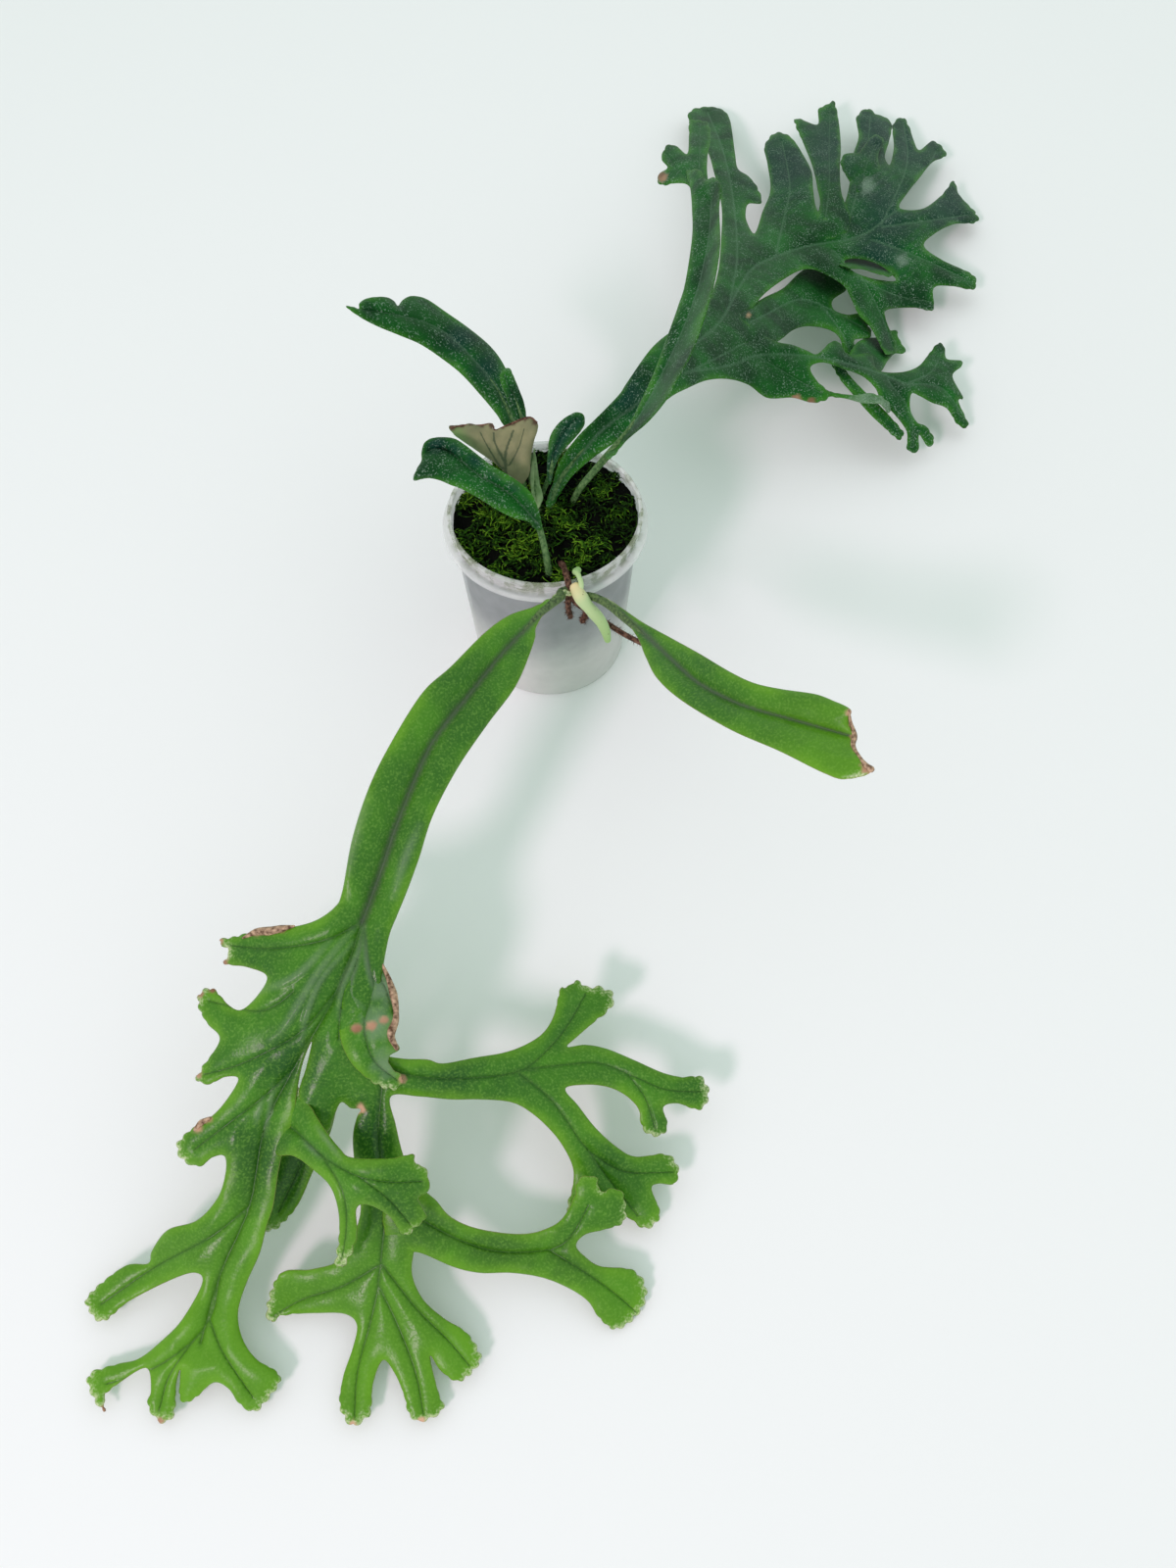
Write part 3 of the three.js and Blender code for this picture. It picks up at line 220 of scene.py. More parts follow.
def pleatField(pleats, x, y):
    # raised or sunk creases: each adds height * exp(-(distance / width)^2) and fades out at its ends
    total, strongest = np.zeros(len(x)), np.zeros(len(x))
    for line, width, height in pleats:
        near = np.zeros(len(x))
        for distance, share in alongSides(line, x, y):
            fade = np.sin(np.pi * np.clip(share, 0.06, 0.94)) ** 0.6
            near = np.maximum(near, fade * np.exp(-((distance / width) ** 2)))
        total += height * near
        strongest = np.maximum(strongest, near)
    return total, strongest


def spotField(spots, x, y, core=0.55):
    # soft ragged spots, the strongest one at each point, full inside their core
    field = np.zeros(len(x))
    for spotX, spotY, radius in spots:
        ragged = radius * (1 + 0.25 * np.sin(0.9 * x + 1.7 * y) * np.cos(1.3 * x - 0.8 * y))
        away = np.hypot(x - spotX, y - spotY)
        field = np.maximum(field, 1 - smoothStep(core * ragged, 1.1 * ragged, away))
    return field


def alongLine(line, x, y):
    # 0 before the line's start, 1 past its end
    (startX, startY), (endX, endY) = line
    dx, dy = endX - startX, endY - startY
    return smoothStep(0, 1, ((x - startX) * dx + (y - startY) * dy) / (dx * dx + dy * dy))


def ripples(x, y, size):
    # slow uneven waves: three crossed sines whose lengths don't divide each other
    return (np.sin(x / size + 0.7 * np.sin(y / size * 0.9)) * np.cos(0.83 * y / size + 0.4)
            + 0.5 * np.sin(1.9 * x / size - 1.3 * y / size + 1.1)) / 1.5


def hexagonalPoints(low, high, step):
    # rows 0.87 of a step apart, every second one shifted by half a step
    gridX, gridY = np.meshgrid(np.arange(low[0], high[0], step), np.arange(low[1], high[1], step * 0.87))
    gridX[1::2] += step / 2
    return np.stack([gridX.ravel(), gridY.ravel()], axis=1)


def bladePoints(loops, style):
    # the outlines, two rows along each, three along each vein and crease, and a hexagonal lattice in
    # between that is twice as fine in the marked circles
    pitch = style["pitch"]
    lattice = hexagonalPoints(loops[0].min(0), loops[0].max(0), pitch)
    for *spot, radius in style["fine"]:
        spot = np.array(spot)
        fine = hexagonalPoints(spot - radius, spot + radius, pitch / 2)
        lattice = np.vstack([lattice[np.hypot(*(lattice - spot).T) > radius],
                             fine[np.hypot(*(fine - spot).T) < radius]])
    inner = []
    for line, *_ in style["ribs"] + style["veins"] + style["pleats"]:
        line = roundedPath(line, 3 * len(line))
        length = np.linalg.norm(np.diff(line, axis=0), axis=1).sum()
        spine = roundedPath(line, max(3, int(length / pitch / 0.8)))
        along = np.gradient(spine, axis=0)
        across = unit(np.stack([-along[:, 1], along[:, 0]], axis=1))
        inner += [spine + side * pitch * across for side in (-0.6, 0, 0.6)]
        lattice = lattice[lineDistance(line, *lattice.T) > 0.95 * pitch]
    inner = np.vstack([*inner, lattice])
    cell = np.round(inner / (0.45 * pitch)).astype(int)
    inner = inner[np.sort(np.unique(cell, axis=0, return_index=True)[1])]
    rows = [0.3 * pitch, 0.85 * pitch]
    inner = [inner[marginDistance(loops, *inner.T) > rows[1] + 0.4 * pitch]]
    for k, loop in enumerate(loops):
        for row in rows:
            ring = loop - row * outwardNormals(loop)[0] * (1 if k == 0 else -1)
            inner.append(ring[marginDistance(loops, *ring.T) > 0.93 * row])
    return np.vstack([*loops, *inner])


def layerShell(layer, style):
    # The blade's middle surface is height(x, y) over triangles that fill the outline. Its two faces
    # stand off along the normal by a half thickness that falls to nothing at the margin, as
    # a quarter circle does: half * sqrt(1 - (1 - d / round)^2).
    style = {**style, **layer.get("style", {})}
    loop, ends = scalloped(roundedLoop(layer["outline"], style["pitch"] * 0.8), style)
    loops = [loop] + [roundedLoop(hole, style["pitch"] * 0.8) for hole in layer.get("holes", [])]
    ends = np.r_[ends, np.zeros(sum(len(hole) for hole in loops[1:]))]
    starts = np.cumsum([0, *[len(each) for each in loops]])
    rings = [np.arange(len(each)) + start for each, start in zip(loops, starts)]
    edges = np.vstack([np.stack([ring, np.roll(ring, -1)], axis=1) for ring in rings]).tolist()
    points = [Vector(point) for point in bladePoints(loops, style).tolist()]
    flat, _, faces, *_ = delaunay_2d_cdt(points, edges, [], 1, 1e-3)
    flat, faces = np.array([tuple(point) for point in flat]), np.array(faces)
    faces = faces[marginDistance(loops, *flat[faces].mean(axis=1).T) > 0]
    x, y = flat.T

    sides = np.concatenate([faces[:, [0, 1]], faces[:, [1, 2]], faces[:, [2, 0]]])
    code, back = sides @ [len(flat), 1], sides @ [1, len(flat)]
    onRim = np.zeros(len(flat), bool)
    onRim[sides[~np.isin(code, back)].ravel()] = True
    free = ~onRim

    margin, end = marginField(loops, ends, x, y)
    margin = np.where(onRim, 0, np.abs(margin))
    ribRatio, ribPlain = veinField(style["ribs"], x, y)
    veinRatio, veinPlain = veinField(style["veins"], x, y)
    pleats, pleatNear = pleatField(style["pleats"], x, y)
    width = margin + np.minimum(ribPlain, veinPlain)
    arch = np.sin(np.pi * margin / np.maximum(width, 1))
    crown = style["crown"] * np.minimum(width, style["crownWidth"]) * arch
    nearest = np.minimum(ribRatio, veinRatio)
    groove = style["groove"] * np.exp(-((nearest / 1.2) ** 2)) * smoothStep(0, 6, margin)
    wave = style["wave"] * ripples(x, y, style["waveSize"]) * np.exp(-margin / style["waveReach"])
    pucker = style["pucker"] * ripples(x, y, style["puckerSize"])
    relief = (crown - groove + pucker + pleats) * smoothStep(0, 3, margin) + wave
    middle = sightPoints(x, y, np.maximum(layerHeight(layer, x, y) + relief, style["floor"]))

    corner = middle[faces]
    facing = np.cross(corner[:, 1] - corner[:, 0], corner[:, 2] - corner[:, 0])
    if facing[:, 2].sum() < 0:
        faces, facing = faces[:, ::-1], -facing
    normal = np.stack([np.bincount(faces.ravel(), np.repeat(each, 3), len(flat)) for each in facing.T], 1)
    normal /= np.maximum(np.linalg.norm(normal, axis=1), 1e-12)[:, None]
    marginMm = margin * ((middle - viewPlace) @ viewForward / view["focus"])
    half = style["half"] * np.sqrt(1 - np.clip(1 - marginMm / style["round"], 0, 1) ** 2)[:, None]
    under = np.cumsum(free) - 1 + len(flat)
    under[onRim] = np.flatnonzero(onRim)
    marks = {
        "rib": np.exp(-(ribRatio**2)), "vein": np.exp(-(veinRatio**2)), "pleat": pleatNear,
        "margin": marginMm, "end": end * np.exp(-margin / style["endFade"]),
        "dead": spotField(style["dead"], x, y), "pale": spotField(style["pale"], x, y, 0.0),
        # the dark spots paint shade on shaded lobes and on halves folded away from the lamp, mixed with the
        # blade's own deeper blue-green
        "dark": spotField(style["dark"], x, y, 0.1), "tip": alongLine(style["tip"], x, y),
    }
    marks = {name: np.r_[value, value[free]] for name, value in marks.items()}
    marks["under"] = np.r_[np.zeros(len(flat)), np.ones(free.sum())]
    vertices = np.vstack([middle + normal * half, (middle - normal * half)[free]])
    return vertices, np.vstack([faces, under[faces][:, ::-1]]), marks


def ringFaces(rows, sides, closed=True):
    # two triangles per cell between rings of points, and where closed a fan from the first and the
    # last ring to the two poles that follow the rings
    k, s = np.meshgrid(np.arange(rows - 1), np.arange(sides), indexing="ij")
    a, b = (k * sides + s).ravel(), (k * sides + (s + 1) % sides).ravel()
    walls = [np.stack([a, b, b + sides], 1), np.stack([a, b + sides, a + sides], 1)]
    first, pole, last = np.arange(sides), np.full(sides, rows * sides), (rows - 1) * sides
    after = (first + 1) % sides
    fans = [np.stack([pole, after, first], 1), np.stack([pole + 1, last + first, last + after], 1)]
    return np.vstack(walls + fans if closed else walls)


def tubeShell(path, radii, sides=10, stations=24):
    # circles of radius r(s) across a smooth path, with a rounded cap and one pole at each end
    centre = roundedPath(path, stations)
    radius = np.interp(np.linspace(0, 1, stations), np.linspace(0, 1, len(radii)), radii)
    ahead = unit(np.gradient(centre, axis=0))
    shift = np.array([0.65, 0.25])  # how far the cap's two rings stand beyond the end, in radii
    share = np.sqrt(1 - shift**2)
    before = centre[0] - ahead[0] * radius[0] * shift[:, None]
    after = centre[-1] + ahead[-1] * radius[-1] * shift[::-1, None]
    centre = np.vstack([before, centre, after])
    radius = np.r_[radius[0] * share, radius, radius[-1] * share[::-1]]
    ahead = np.vstack([ahead[:1], ahead[:1], ahead, ahead[-1:], ahead[-1:]])
    side = [np.cross(ahead[0], [0.3, 0.2, 1.0])]
    for direction in ahead:
        side.append(unit(side[-1] - direction * (side[-1] @ direction)))
    side = np.array(side[1:])
    turn = np.linspace(0, 2 * np.pi, sides, endpoint=False)[None, :, None]
    ring = centre[:, None] + radius[:, None, None] * (np.cos(turn) * side[:, None]
                                                      + np.sin(turn) * np.cross(ahead, side)[:, None])
    poles = centre[[0, -1]] + ahead[[0, -1]] * radius[[0, -1], None] * [[-0.35], [0.35]]
    along = np.r_[np.repeat(np.linspace(0, 1, len(centre)), sides), 0, 1]
    return np.vstack([ring.reshape(-1, 3), poles]), ringFaces(len(centre), sides), {"along": along}


def placeObject(name, data):
    placed = bpy.data.objects.new(name, data)
    bpy.context.scene.collection.objects.link(placed)
    return placed


def meshPiece(name, parts, replaced=()):
    # one object from closed shells, each with its material; a mark that a shell lacks is zero there
    starts = np.cumsum([0, *[len(vertices) for (vertices, _, _), _ in parts]])
    vertices = np.vstack([vertices for (vertices, _, _), _ in parts])
    faces = np.vstack([faces + start for ((_, faces, _), _), start in zip(parts, starts)])
    mesh = bpy.data.meshes.new(name)
    mesh.from_pydata((vertices * metres).tolist(), [], faces.tolist())
    materials = list(dict.fromkeys(material for _, material in parts))
    chosen = np.concatenate([np.full(len(shell[1]), materials.index(material)) for shell, material in parts])
    mesh.polygons.foreach_set("material_index", chosen.astype(np.int32))
    for mark in sorted({mark for (_, _, marks), _ in parts for mark in marks}):
        values = np.concatenate([marks.get(mark, np.zeros(len(each))) for (each, _, marks), _ in parts])
        mesh.attributes.new(mark, "FLOAT", "POINT").data.foreach_set("value", values.astype(np.float32))
    mesh.polygons.foreach_set("use_smooth", np.ones(len(mesh.polygons), bool))
    for material in materials:
        mesh.materials.append(material)
    mesh.update()
    piece = placeObject(name, mesh)
    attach(piece, "root")
    if replaced:
        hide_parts(*replaced)
    print(f"{name}: {len(vertices)} points, {len(faces)} faces")
    return piece


def linearColour(hexCode):
    # an sRGB hex value as linear light
    parts = [int(hexCode[k:k + 2], 16) / 255 for k in (1, 3, 5)]
    return (*[p / 12.92 if p <= 0.04045 else ((p + 0.055) / 1.055) ** 2.4 for p in parts], 1.0)


def addNode(tree, kind, links, output=None, **settings):
    # One node with its settings. Each link gives an input a value, a hex colour or another node's
    # output. It returns the output that is named, or else the first one in use.
    node = tree.nodes.new("ShaderNode" + kind)
    for key, value in settings.items():
        setattr(node, key, value)
    for key, value in links.items():
        if isinstance(value, bpy.types.NodeSocket):
            tree.links.new(value, node.inputs[key])
        else:
            node.inputs[key].default_value = linearColour(value) if isinstance(value, str) else value
    return node.outputs[output] if output else next((each for each in node.outputs if each.enabled), None)


def startMaterial(name, *markNames):
    # an empty material, what adds its nodes, the place on the piece in metres, and the named marks
    material = bpy.data.materials.new(name)
    material.use_nodes = True
    material.node_tree.nodes.clear()
    add = partial(addNode, material.node_tree)
    marks = {mark: add("Attribute", {}, "Fac", attribute_name=mark) for mark in markNames}
    return material, add, add("TexCoord", {}, "Object"), marks


straight, smooth = "LINEAR", "SMOOTHSTEP"


def coated(add, look, skin, coats):
    # colours laid over each other: each mask is its value taken from low..high to 0..share
    for colour, value, low, high, share, curve in coats:
        mask = add("MapRange", {"Value": value, "From Min": low, "From Max": high, "To Max": share},
                   interpolation_type=curve)
        skin = add("Mix", {0: mask, 6: skin, 7: look[colour]}, data_type="RGBA")
    return skin


def spreadColours(ramp, stops):
    # the colours along a ramp, each at its place
    elements = ramp.node.color_ramp.elements
    while len(elements) < len(stops):
        elements.new(0.5)
    for element, (place, colour) in zip(elements, stops):
        element.position, element.color = place, linearColour(colour)


def finishMaterial(material, add, links, relief=None):
    # the shader with its sockets; relief is a height, the bump's strength and its depth in metres
    if relief:
        links["Normal"] = add("Bump", dict(zip(("Height", "Strength", "Distance"), relief)))
    add("OutputMaterial", {"Surface": add("BsdfPrincipled", links)})
    return material


def freshBlade():
    # Waxy leathery polypodium blade in fresh growth: a satin green skin with fine pebbling, brighter towards
    # its margin and its tips, a grey rib, soft dark veins, and pale scuffs on the lobes' ends. Pale
    # grey-green along the creases is a painted highlight of their glossy ridges, and the dark patches are
    # partly painted shade and partly the blade's own deeper blue-green
    look = {"deep": "#2e6412", "mid": "#427e13", "light": "#6f9f3e", "edge": "#6fa51a", "tip": "#659f14",
            "vein": "#1c4710", "pleat": "#7f9079", "rib": "#475442", "pale": "#7b9177", "scuff": "#c9d3a6",
            "rim": "#8f8c50", "under": "#6d9c40", "dead": "#cda788", "deadDark": "#855a3e",
            "dark": "#164615"}
    material, add, place, marks = startMaterial("waxyFreshBlade", "rib", "vein", "pleat", "margin", "end",
                                                "dead", "pale", "dark", "tip", "under")
    broad = add("TexNoise", {"Vector": place, "Scale": 1 / 0.022, "Detail": 3.0})
    pebble = add("TexNoise", {"Vector": place, "Scale": 1 / 0.0009, "Detail": 2.0})
    fleck = add("TexVoronoi", {"Vector": place, "Scale": 1 / 0.0011})
    edge = add("Math", {0: broad, 1: -9.0, 2: marks["margin"]}, operation="MULTIPLY_ADD")
    scuff = add("Math", {0: marks["end"], 1: pebble}, operation="MULTIPLY")
    rib = add("Math", {0: pebble, 1: 0.7, 2: marks["rib"]}, operation="MULTIPLY_ADD")
    look["brown"] = coated(add, look, look["dead"], [("deadDark", broad, 0.36, 0.66, 1, straight)])
    skin = coated(add, look, look["deep"], [
        ("mid", broad, 0.36, 0.66, 1, straight),
        # the dark patches: partly painted shade, partly the blade's own deeper blue-green
        ("dark", marks["dark"], 0, 1, 0.7, straight),
        ("light", pebble, 0.48, 0.74, 0.5, straight),
        ("edge", edge, -0.5, -5.0, 0.42, smooth),
        ("tip", marks["tip"], 0, 1, 0.5, straight),
        ("vein", marks["vein"], 0, 1, 0.6, straight),
        ("rib", rib, 0.55, 1.5, 0.85, smooth),
        # painted highlight: pale grey-green along the glossy ridges of the creases
        ("pleat", marks["pleat"], 0, 1, 0.35, straight),
        ("pale", marks["pale"], 0, 1, 0.6, straight),
        ("scuff", scuff, 0.2, 0.6, 0.8, smooth),
        ("rim", marks["margin"], 0.35, 0.08, 0.55, smooth),
        ("under", marks["under"], 0, 1, 0.6, straight),
        ("brown", marks["dead"], 0, 1, 1, straight),
    ])
    rough = add("MapRange", {"Value": broad, "From Min": 0.3, "From Max": 0.7,
                             "To Min": 0.27, "To Max": 0.39})
    grain = add("Math", {0: pebble, 1: fleck}, operation="SUBTRACT")
    return finishMaterial(material, add, {"Base Color": skin, "Roughness": rough, "IOR": 1.45,
                                          "Specular IOR Level": 0.32}, (grain, 0.25, 0.0002))


def matureBlade():
    # Older polypodium blade: dark blue-green satin skin under a fine pale scurf, paler veins, and
    # a brighter green towards its margin; its dark patches are partly painted shade and partly the
    # blade's own deeper blue-green
    look = {"deep": "#083815", "mid": "#175d1d", "edge": "#45821f", "scurf": "#93ad9a", "vein": "#557a5c",
            "rib": "#53705a", "pale": "#93a796", "dark": "#08302b", "under": "#5e8f58", "dead": "#b39474",
            "deadDark": "#5c422c"}
    material, add, place, marks = startMaterial("scurfyMatureBlade", "rib", "vein", "margin", "dead", "pale",
                                                "dark", "under")
    broad = add("TexNoise", {"Vector": place, "Scale": 1 / 0.02, "Detail": 4.0})
    pebble = add("TexNoise", {"Vector": place, "Scale": 1 / 0.0009, "Detail": 2.0, "Roughness": 0.7})
    drift = add("TexNoise", {"Vector": place, "Scale": 1 / 0.009, "Detail": 3.0})
    edge = add("Math", {0: broad, 1: -8.0, 2: marks["margin"]}, operation="MULTIPLY_ADD")
    scurf = add("Math", {0: drift, 1: 0.22, 2: pebble}, operation="MULTIPLY_ADD")
    scurf = add("MapRange", {"Value": scurf, "From Min": 0.66, "From Max": 0.8, "To Max": 0.5},
                interpolation_type=smooth)
    vein, rib, pale = (add("Math", {0: pebble, 1: 0.9, 2: marks[name]}, operation="MULTIPLY_ADD")
                       for name in ("vein", "rib", "pale"))
    look["brown"] = coated(add, look, look["dead"], [("deadDark", broad, 0.36, 0.66, 1, straight)])
    skin = coated(add, look, look["deep"], [
        ("mid", broad, 0.36, 0.66, 1, straight),
        # the dark patches: partly painted shade, partly the blade's own deeper blue-green
        ("dark", marks["dark"], 0, 1, 0.75, straight),
        ("edge", edge, -1.0, -5.0, 0.5, smooth),
        ("scurf", scurf, 0, 1, 1, straight),
        ("vein", vein, 0.75, 1.6, 0.5, smooth),
        ("rib", rib, 0.7, 1.6, 0.55, smooth),
        ("pale", pale, 0.85, 1.7, 0.5, smooth),
        ("under", marks["under"], 0, 1, 0.6, straight),
        ("brown", marks["dead"], 0, 1, 1, straight),
    ])
    rough = add("MapRange", {"Value": scurf, "From Min": 0.0, "From Max": 0.4,
                             "To Min": 0.45, "To Max": 0.75})
    return finishMaterial(material, add, {"Base Color": skin, "Roughness": rough, "IOR": 1.3,
                                          "Specular IOR Level": 0.2}, (pebble, 0.35, 0.0003))


def dryBlade():
    # Faded, dry underside of a cut leaf: dull tan skin, dark green veins, brown torn top edge
    look = {"tan": "#82825c", "grey": "#686d4c", "vein": "#38492d", "green": "#5f8045", "dead": "#4b3a29"}
    material, add, place, marks = startMaterial("dryTanBlade", "vein", "dead", "tip")
    broad = add("TexNoise", {"Vector": place, "Scale": 1 / 0.007, "Detail": 4.0})
    grain = add("TexNoise", {"Vector": place, "Scale": 1 / 0.0012, "Detail": 3.0})
    vein = add("Math", {0: grain, 1: 0.9, 2: marks["vein"]}, operation="MULTIPLY_ADD")
    skin = coated(add, look, look["tan"], [
        ("grey", broad, 0.35, 0.65, 1, straight),
        ("green", marks["tip"], 0, 1, 1, straight),
        ("vein", vein, 0.7, 1.2, 0.85, smooth),
        ("dead", marks["dead"], 0, 1, 1, straight),
    ])
    return finishMaterial(material, add, {"Base Color": skin, "Roughness": 0.75, "IOR": 1.45},
                          (grain, 0.4, 0.0003))


def mottledMaterial(name, dark, light, grainSize, roughness, depth):
    # Two tones mixed by noise of the grain's real size in metres, with the same noise as relief
    material, add, place, _ = startMaterial(name)
    grain = add("TexNoise", {"Vector": place, "Scale": 1 / grainSize, "Detail": 4.0})
    tone = coated(add, {"light": light}, dark, [("light", grain, 0.35, 0.65, 1, straight)])
    return finishMaterial(material, add, {"Base Color": tone, "Roughness": roughness, "IOR": 1.45,
                                          "Specular IOR Level": 0.25}, (grain, 0.6, depth))


def livingMoss():
    # Living feather moss: yellow-green new shoots over dark green old growth. Painted light and shade: the
    # shoots darken to near-black towards their bases, partly older growth and partly painted shade deep in
    # the moss, and shoots on the side towards the lamp and on the clumps' tops are painted lighter
    look = {"shade": "#030502", "deep": "#0f2405", "mid": "#28500b", "light": "#5f8a1e"}
    material, add, place, marks = startMaterial("livingMoss", "along", "bright")
    grain = add("TexNoise", {"Vector": place, "Scale": 1 / 0.0012, "Detail": 2.0})
    lift = add("Math", {0: marks["along"], 1: 0.55, 2: marks["bright"]}, operation="MULTIPLY_ADD")
    lift = add("Math", {0: grain, 1: 0.3, 2: lift}, operation="MULTIPLY_ADD")
    tone = add("ValToRGB", {"Fac": lift})
    spreadColours(tone, list(zip((0.32, 0.55, 0.8, 1.0), look.values())))
    return finishMaterial(material, add, {"Base Color": tone, "Roughness": 0.8, "IOR": 1.4,
                                          "Specular IOR Level": 0.1})


def frostedPolypropylene():
    # Thin moulded polypropylene, milky and see-through: dark contents show as a soft grey, pale ones
    # as a warm white, the thicker rim rings are whiter and moss has left green smears under the lip
    look = {"wall": "#a4abab", "foot": "#d9dcd6", "rim": "#eef1ee", "moss": "#77874f", "wallAlpha": 0.36,
            "footAlpha": 0.56, "rimAlpha": 0.3}
    material, add, place, marks = startMaterial("frostedPolypropylene", "rim", "collar")
    cloud = add("TexNoise", {"Vector": place, "Scale": 1 / 0.012, "Detail": 3.0})
    smear = add("TexNoise", {"Vector": place, "Scale": 1 / 0.006, "Detail": 4.0})
    height = add("SeparateXYZ", {"Vector": place}, "Z")
    low = add("MapRange", {"Value": height, "From Min": 0.06, "From Max": 0.015}, interpolation_type=smooth)
    smear = add("MapRange", {"Value": smear, "From Min": 0.4, "From Max": 0.6, "To Max": 0.85},
                interpolation_type=smooth)
    smear = add("Math", {0: smear, 1: marks["collar"]}, operation="MULTIPLY")
    tone = coated(add, look, look["wall"], [
        ("foot", low, 0, 1, 1, straight),
        ("rim", marks["rim"], 0, 1, 1, straight),
        ("moss", smear, 0, 1, 1, straight),
    ])
    alpha = add("MapRange", {"Value": low, "To Min": look["wallAlpha"], "To Max": look["footAlpha"]})
    alpha = add("MapRange", {"Value": marks["rim"], "To Min": alpha, "To Max": look["rimAlpha"]})
    alpha = add("Math", {0: cloud, 1: 0.26, 2: alpha}, operation="MULTIPLY_ADD")
    return finishMaterial(material, add, {"Base Color": tone, "Roughness": 0.38, "IOR": 1.49, "Alpha": alpha},
                          (cloud, 0.1, 0.0005))


def growingTip():
    # Smooth fleshy skin of the growing tip: cream head, pale green length, greener towards its end
    look = {"cream": "#dfca98", "pale": "#b5cc96", "green": "#8db36c", "speck": "#6b5238"}
    material, add, place, marks = startMaterial("fleshyRhizomeTip", "along")
    grain = add("TexNoise", {"Vector": place, "Scale": 1 / 0.0025, "Detail": 2.0})
    speck = add("TexVoronoi", {"Vector": place, "Scale": 1 / 0.0032})
    tone = add("ValToRGB", {"Fac": marks["along"]})
    spreadColours(tone, [(0.0, look["cream"]), (0.22, look["pale"]), (1.0, look["green"])])
    tone = coated(add, look, tone, [("speck", speck, 0.13, 0.07, 0.6, straight)])
    return finishMaterial(material, add, {"Base Color": tone, "Roughness": 0.42, "IOR": 1.4,
                                          "Specular IOR Level": 0.3}, (grain, 0.3, 0.0001))


def dampBarkMix():
    # Damp dark bark and fibre; pale dust and roots collect towards its lower edge, so it has no
    # sharp border with the granules when seen through the wall
    look = {"dark": "#0d0c0b", "brown": "#3d362f", "dust": "#a39d95", "low": 0.006, "high": 0.029}
    material, add, place, _ = startMaterial("dampBarkMix")
    grain = add("TexNoise", {"Vector": place, "Scale": 1 / 0.006, "Detail": 4.0})
    drift = add("TexNoise", {"Vector": place, "Scale": 1 / 0.02, "Detail": 3.0})
    height = add("SeparateXYZ", {"Vector": place}, "Z")
    edge = add("Math", {0: drift, 1: -0.03, 2: height}, operation="MULTIPLY_ADD")
    tone = coated(add, look, look["dark"], [
        ("brown", grain, 0.35, 0.65, 1, straight),
        ("dust", edge, look["high"], look["low"], 0.95, smooth),
    ])
    return finishMaterial(material, add, {"Base Color": tone, "Roughness": 0.9, "IOR": 1.4})


def plainFloor():
    # Matt pale sheet that the pot stands on
    material, add, *_ = startMaterial("paleMattSheet")
    return finishMaterial(material, add, {"Base Color": "#edf0ee", "Roughness": 0.6, "IOR": 1.3})


waxyFresh, scurfyMature, dryTan, mossGreen = freshBlade(), matureBlade(), dryBlade(), livingMoss()
frostedPlastic = frostedPolypropylene()
youngGreen = mottledMaterial("youngBladeSkin", "#5c7c4a", "#86a070", 0.004, 0.5, 0.0003)
stalkSkin = mottledMaterial("scurfyStalkSkin", "#2b4f24", "#5f7f4c", 0.0012, 0.6, 0.0003)
freshStalkSkin = mottledMaterial("freshStalkSkin", "#37492f", "#647d4a", 0.0012, 0.55, 0.0003)
barkBrown = mottledMaterial("scalyRhizomeBark", "#2a1b13", "#765645", 0.0013, 0.85, 0.0008)
driedMargin = mottledMaterial("driedRolledMargin", "#57402c", "#bfa184", 0.0016, 0.6, 0.0004)
paleSkin = growingTip()
dampMix = dampBarkMix()
paleGranules = mottledMaterial("palePumiceGranules", "#c9bdb2", "#efe6de", 0.005, 0.9, 0.002)
print("materials made")


def underBlade(leaf, points, lift):
    # picture points carried to a height above or below the blade
    x, y = np.array(points, float).T
    return sightPoints(x, y, layerHeight(leaf, x, y) + lift)


def rolledMargin(leaf, along, radii, finish=driedMargin):
    # a dried margin, rolled into a thin uneven tube just above the blade
    return tubeShell(underBlade(leaf, along, 0.5 * max(radii)), radii, 10, 36), finish


freshFinishes = (waxyFresh, freshStalkSkin, "fresh_blade")
matureFinishes = (scurfyMature, stalkSkin, "mature_blade")


def leafPiece(name, layers, style, finishes, node, rolls=()):
    # The layers' shells, the rolled margins and the stalk, as one piece. The stalk passes points
    # in millimetres, then picture points with their heights, and runs on just under the blade.
    skin, stalkFinish, slot = finishes
    stalk = layers[0]["stalk"]
    seen = np.array(stalk.get("seen", []), float).reshape(-1, 3)
    path = np.vstack([stalk["free"], sightPoints(*seen.T), underBlade(layers[0], stalk["along"], -0.5)])
    stalkShell = tubeShell(path, stalk["radii"], stalk.get("sides", 12))
    shells = [(layerShell(layer, style), skin) for layer in layers]
    meshPiece(name, [*shells, *rolls, (stalkShell, stalkFinish)], [node])


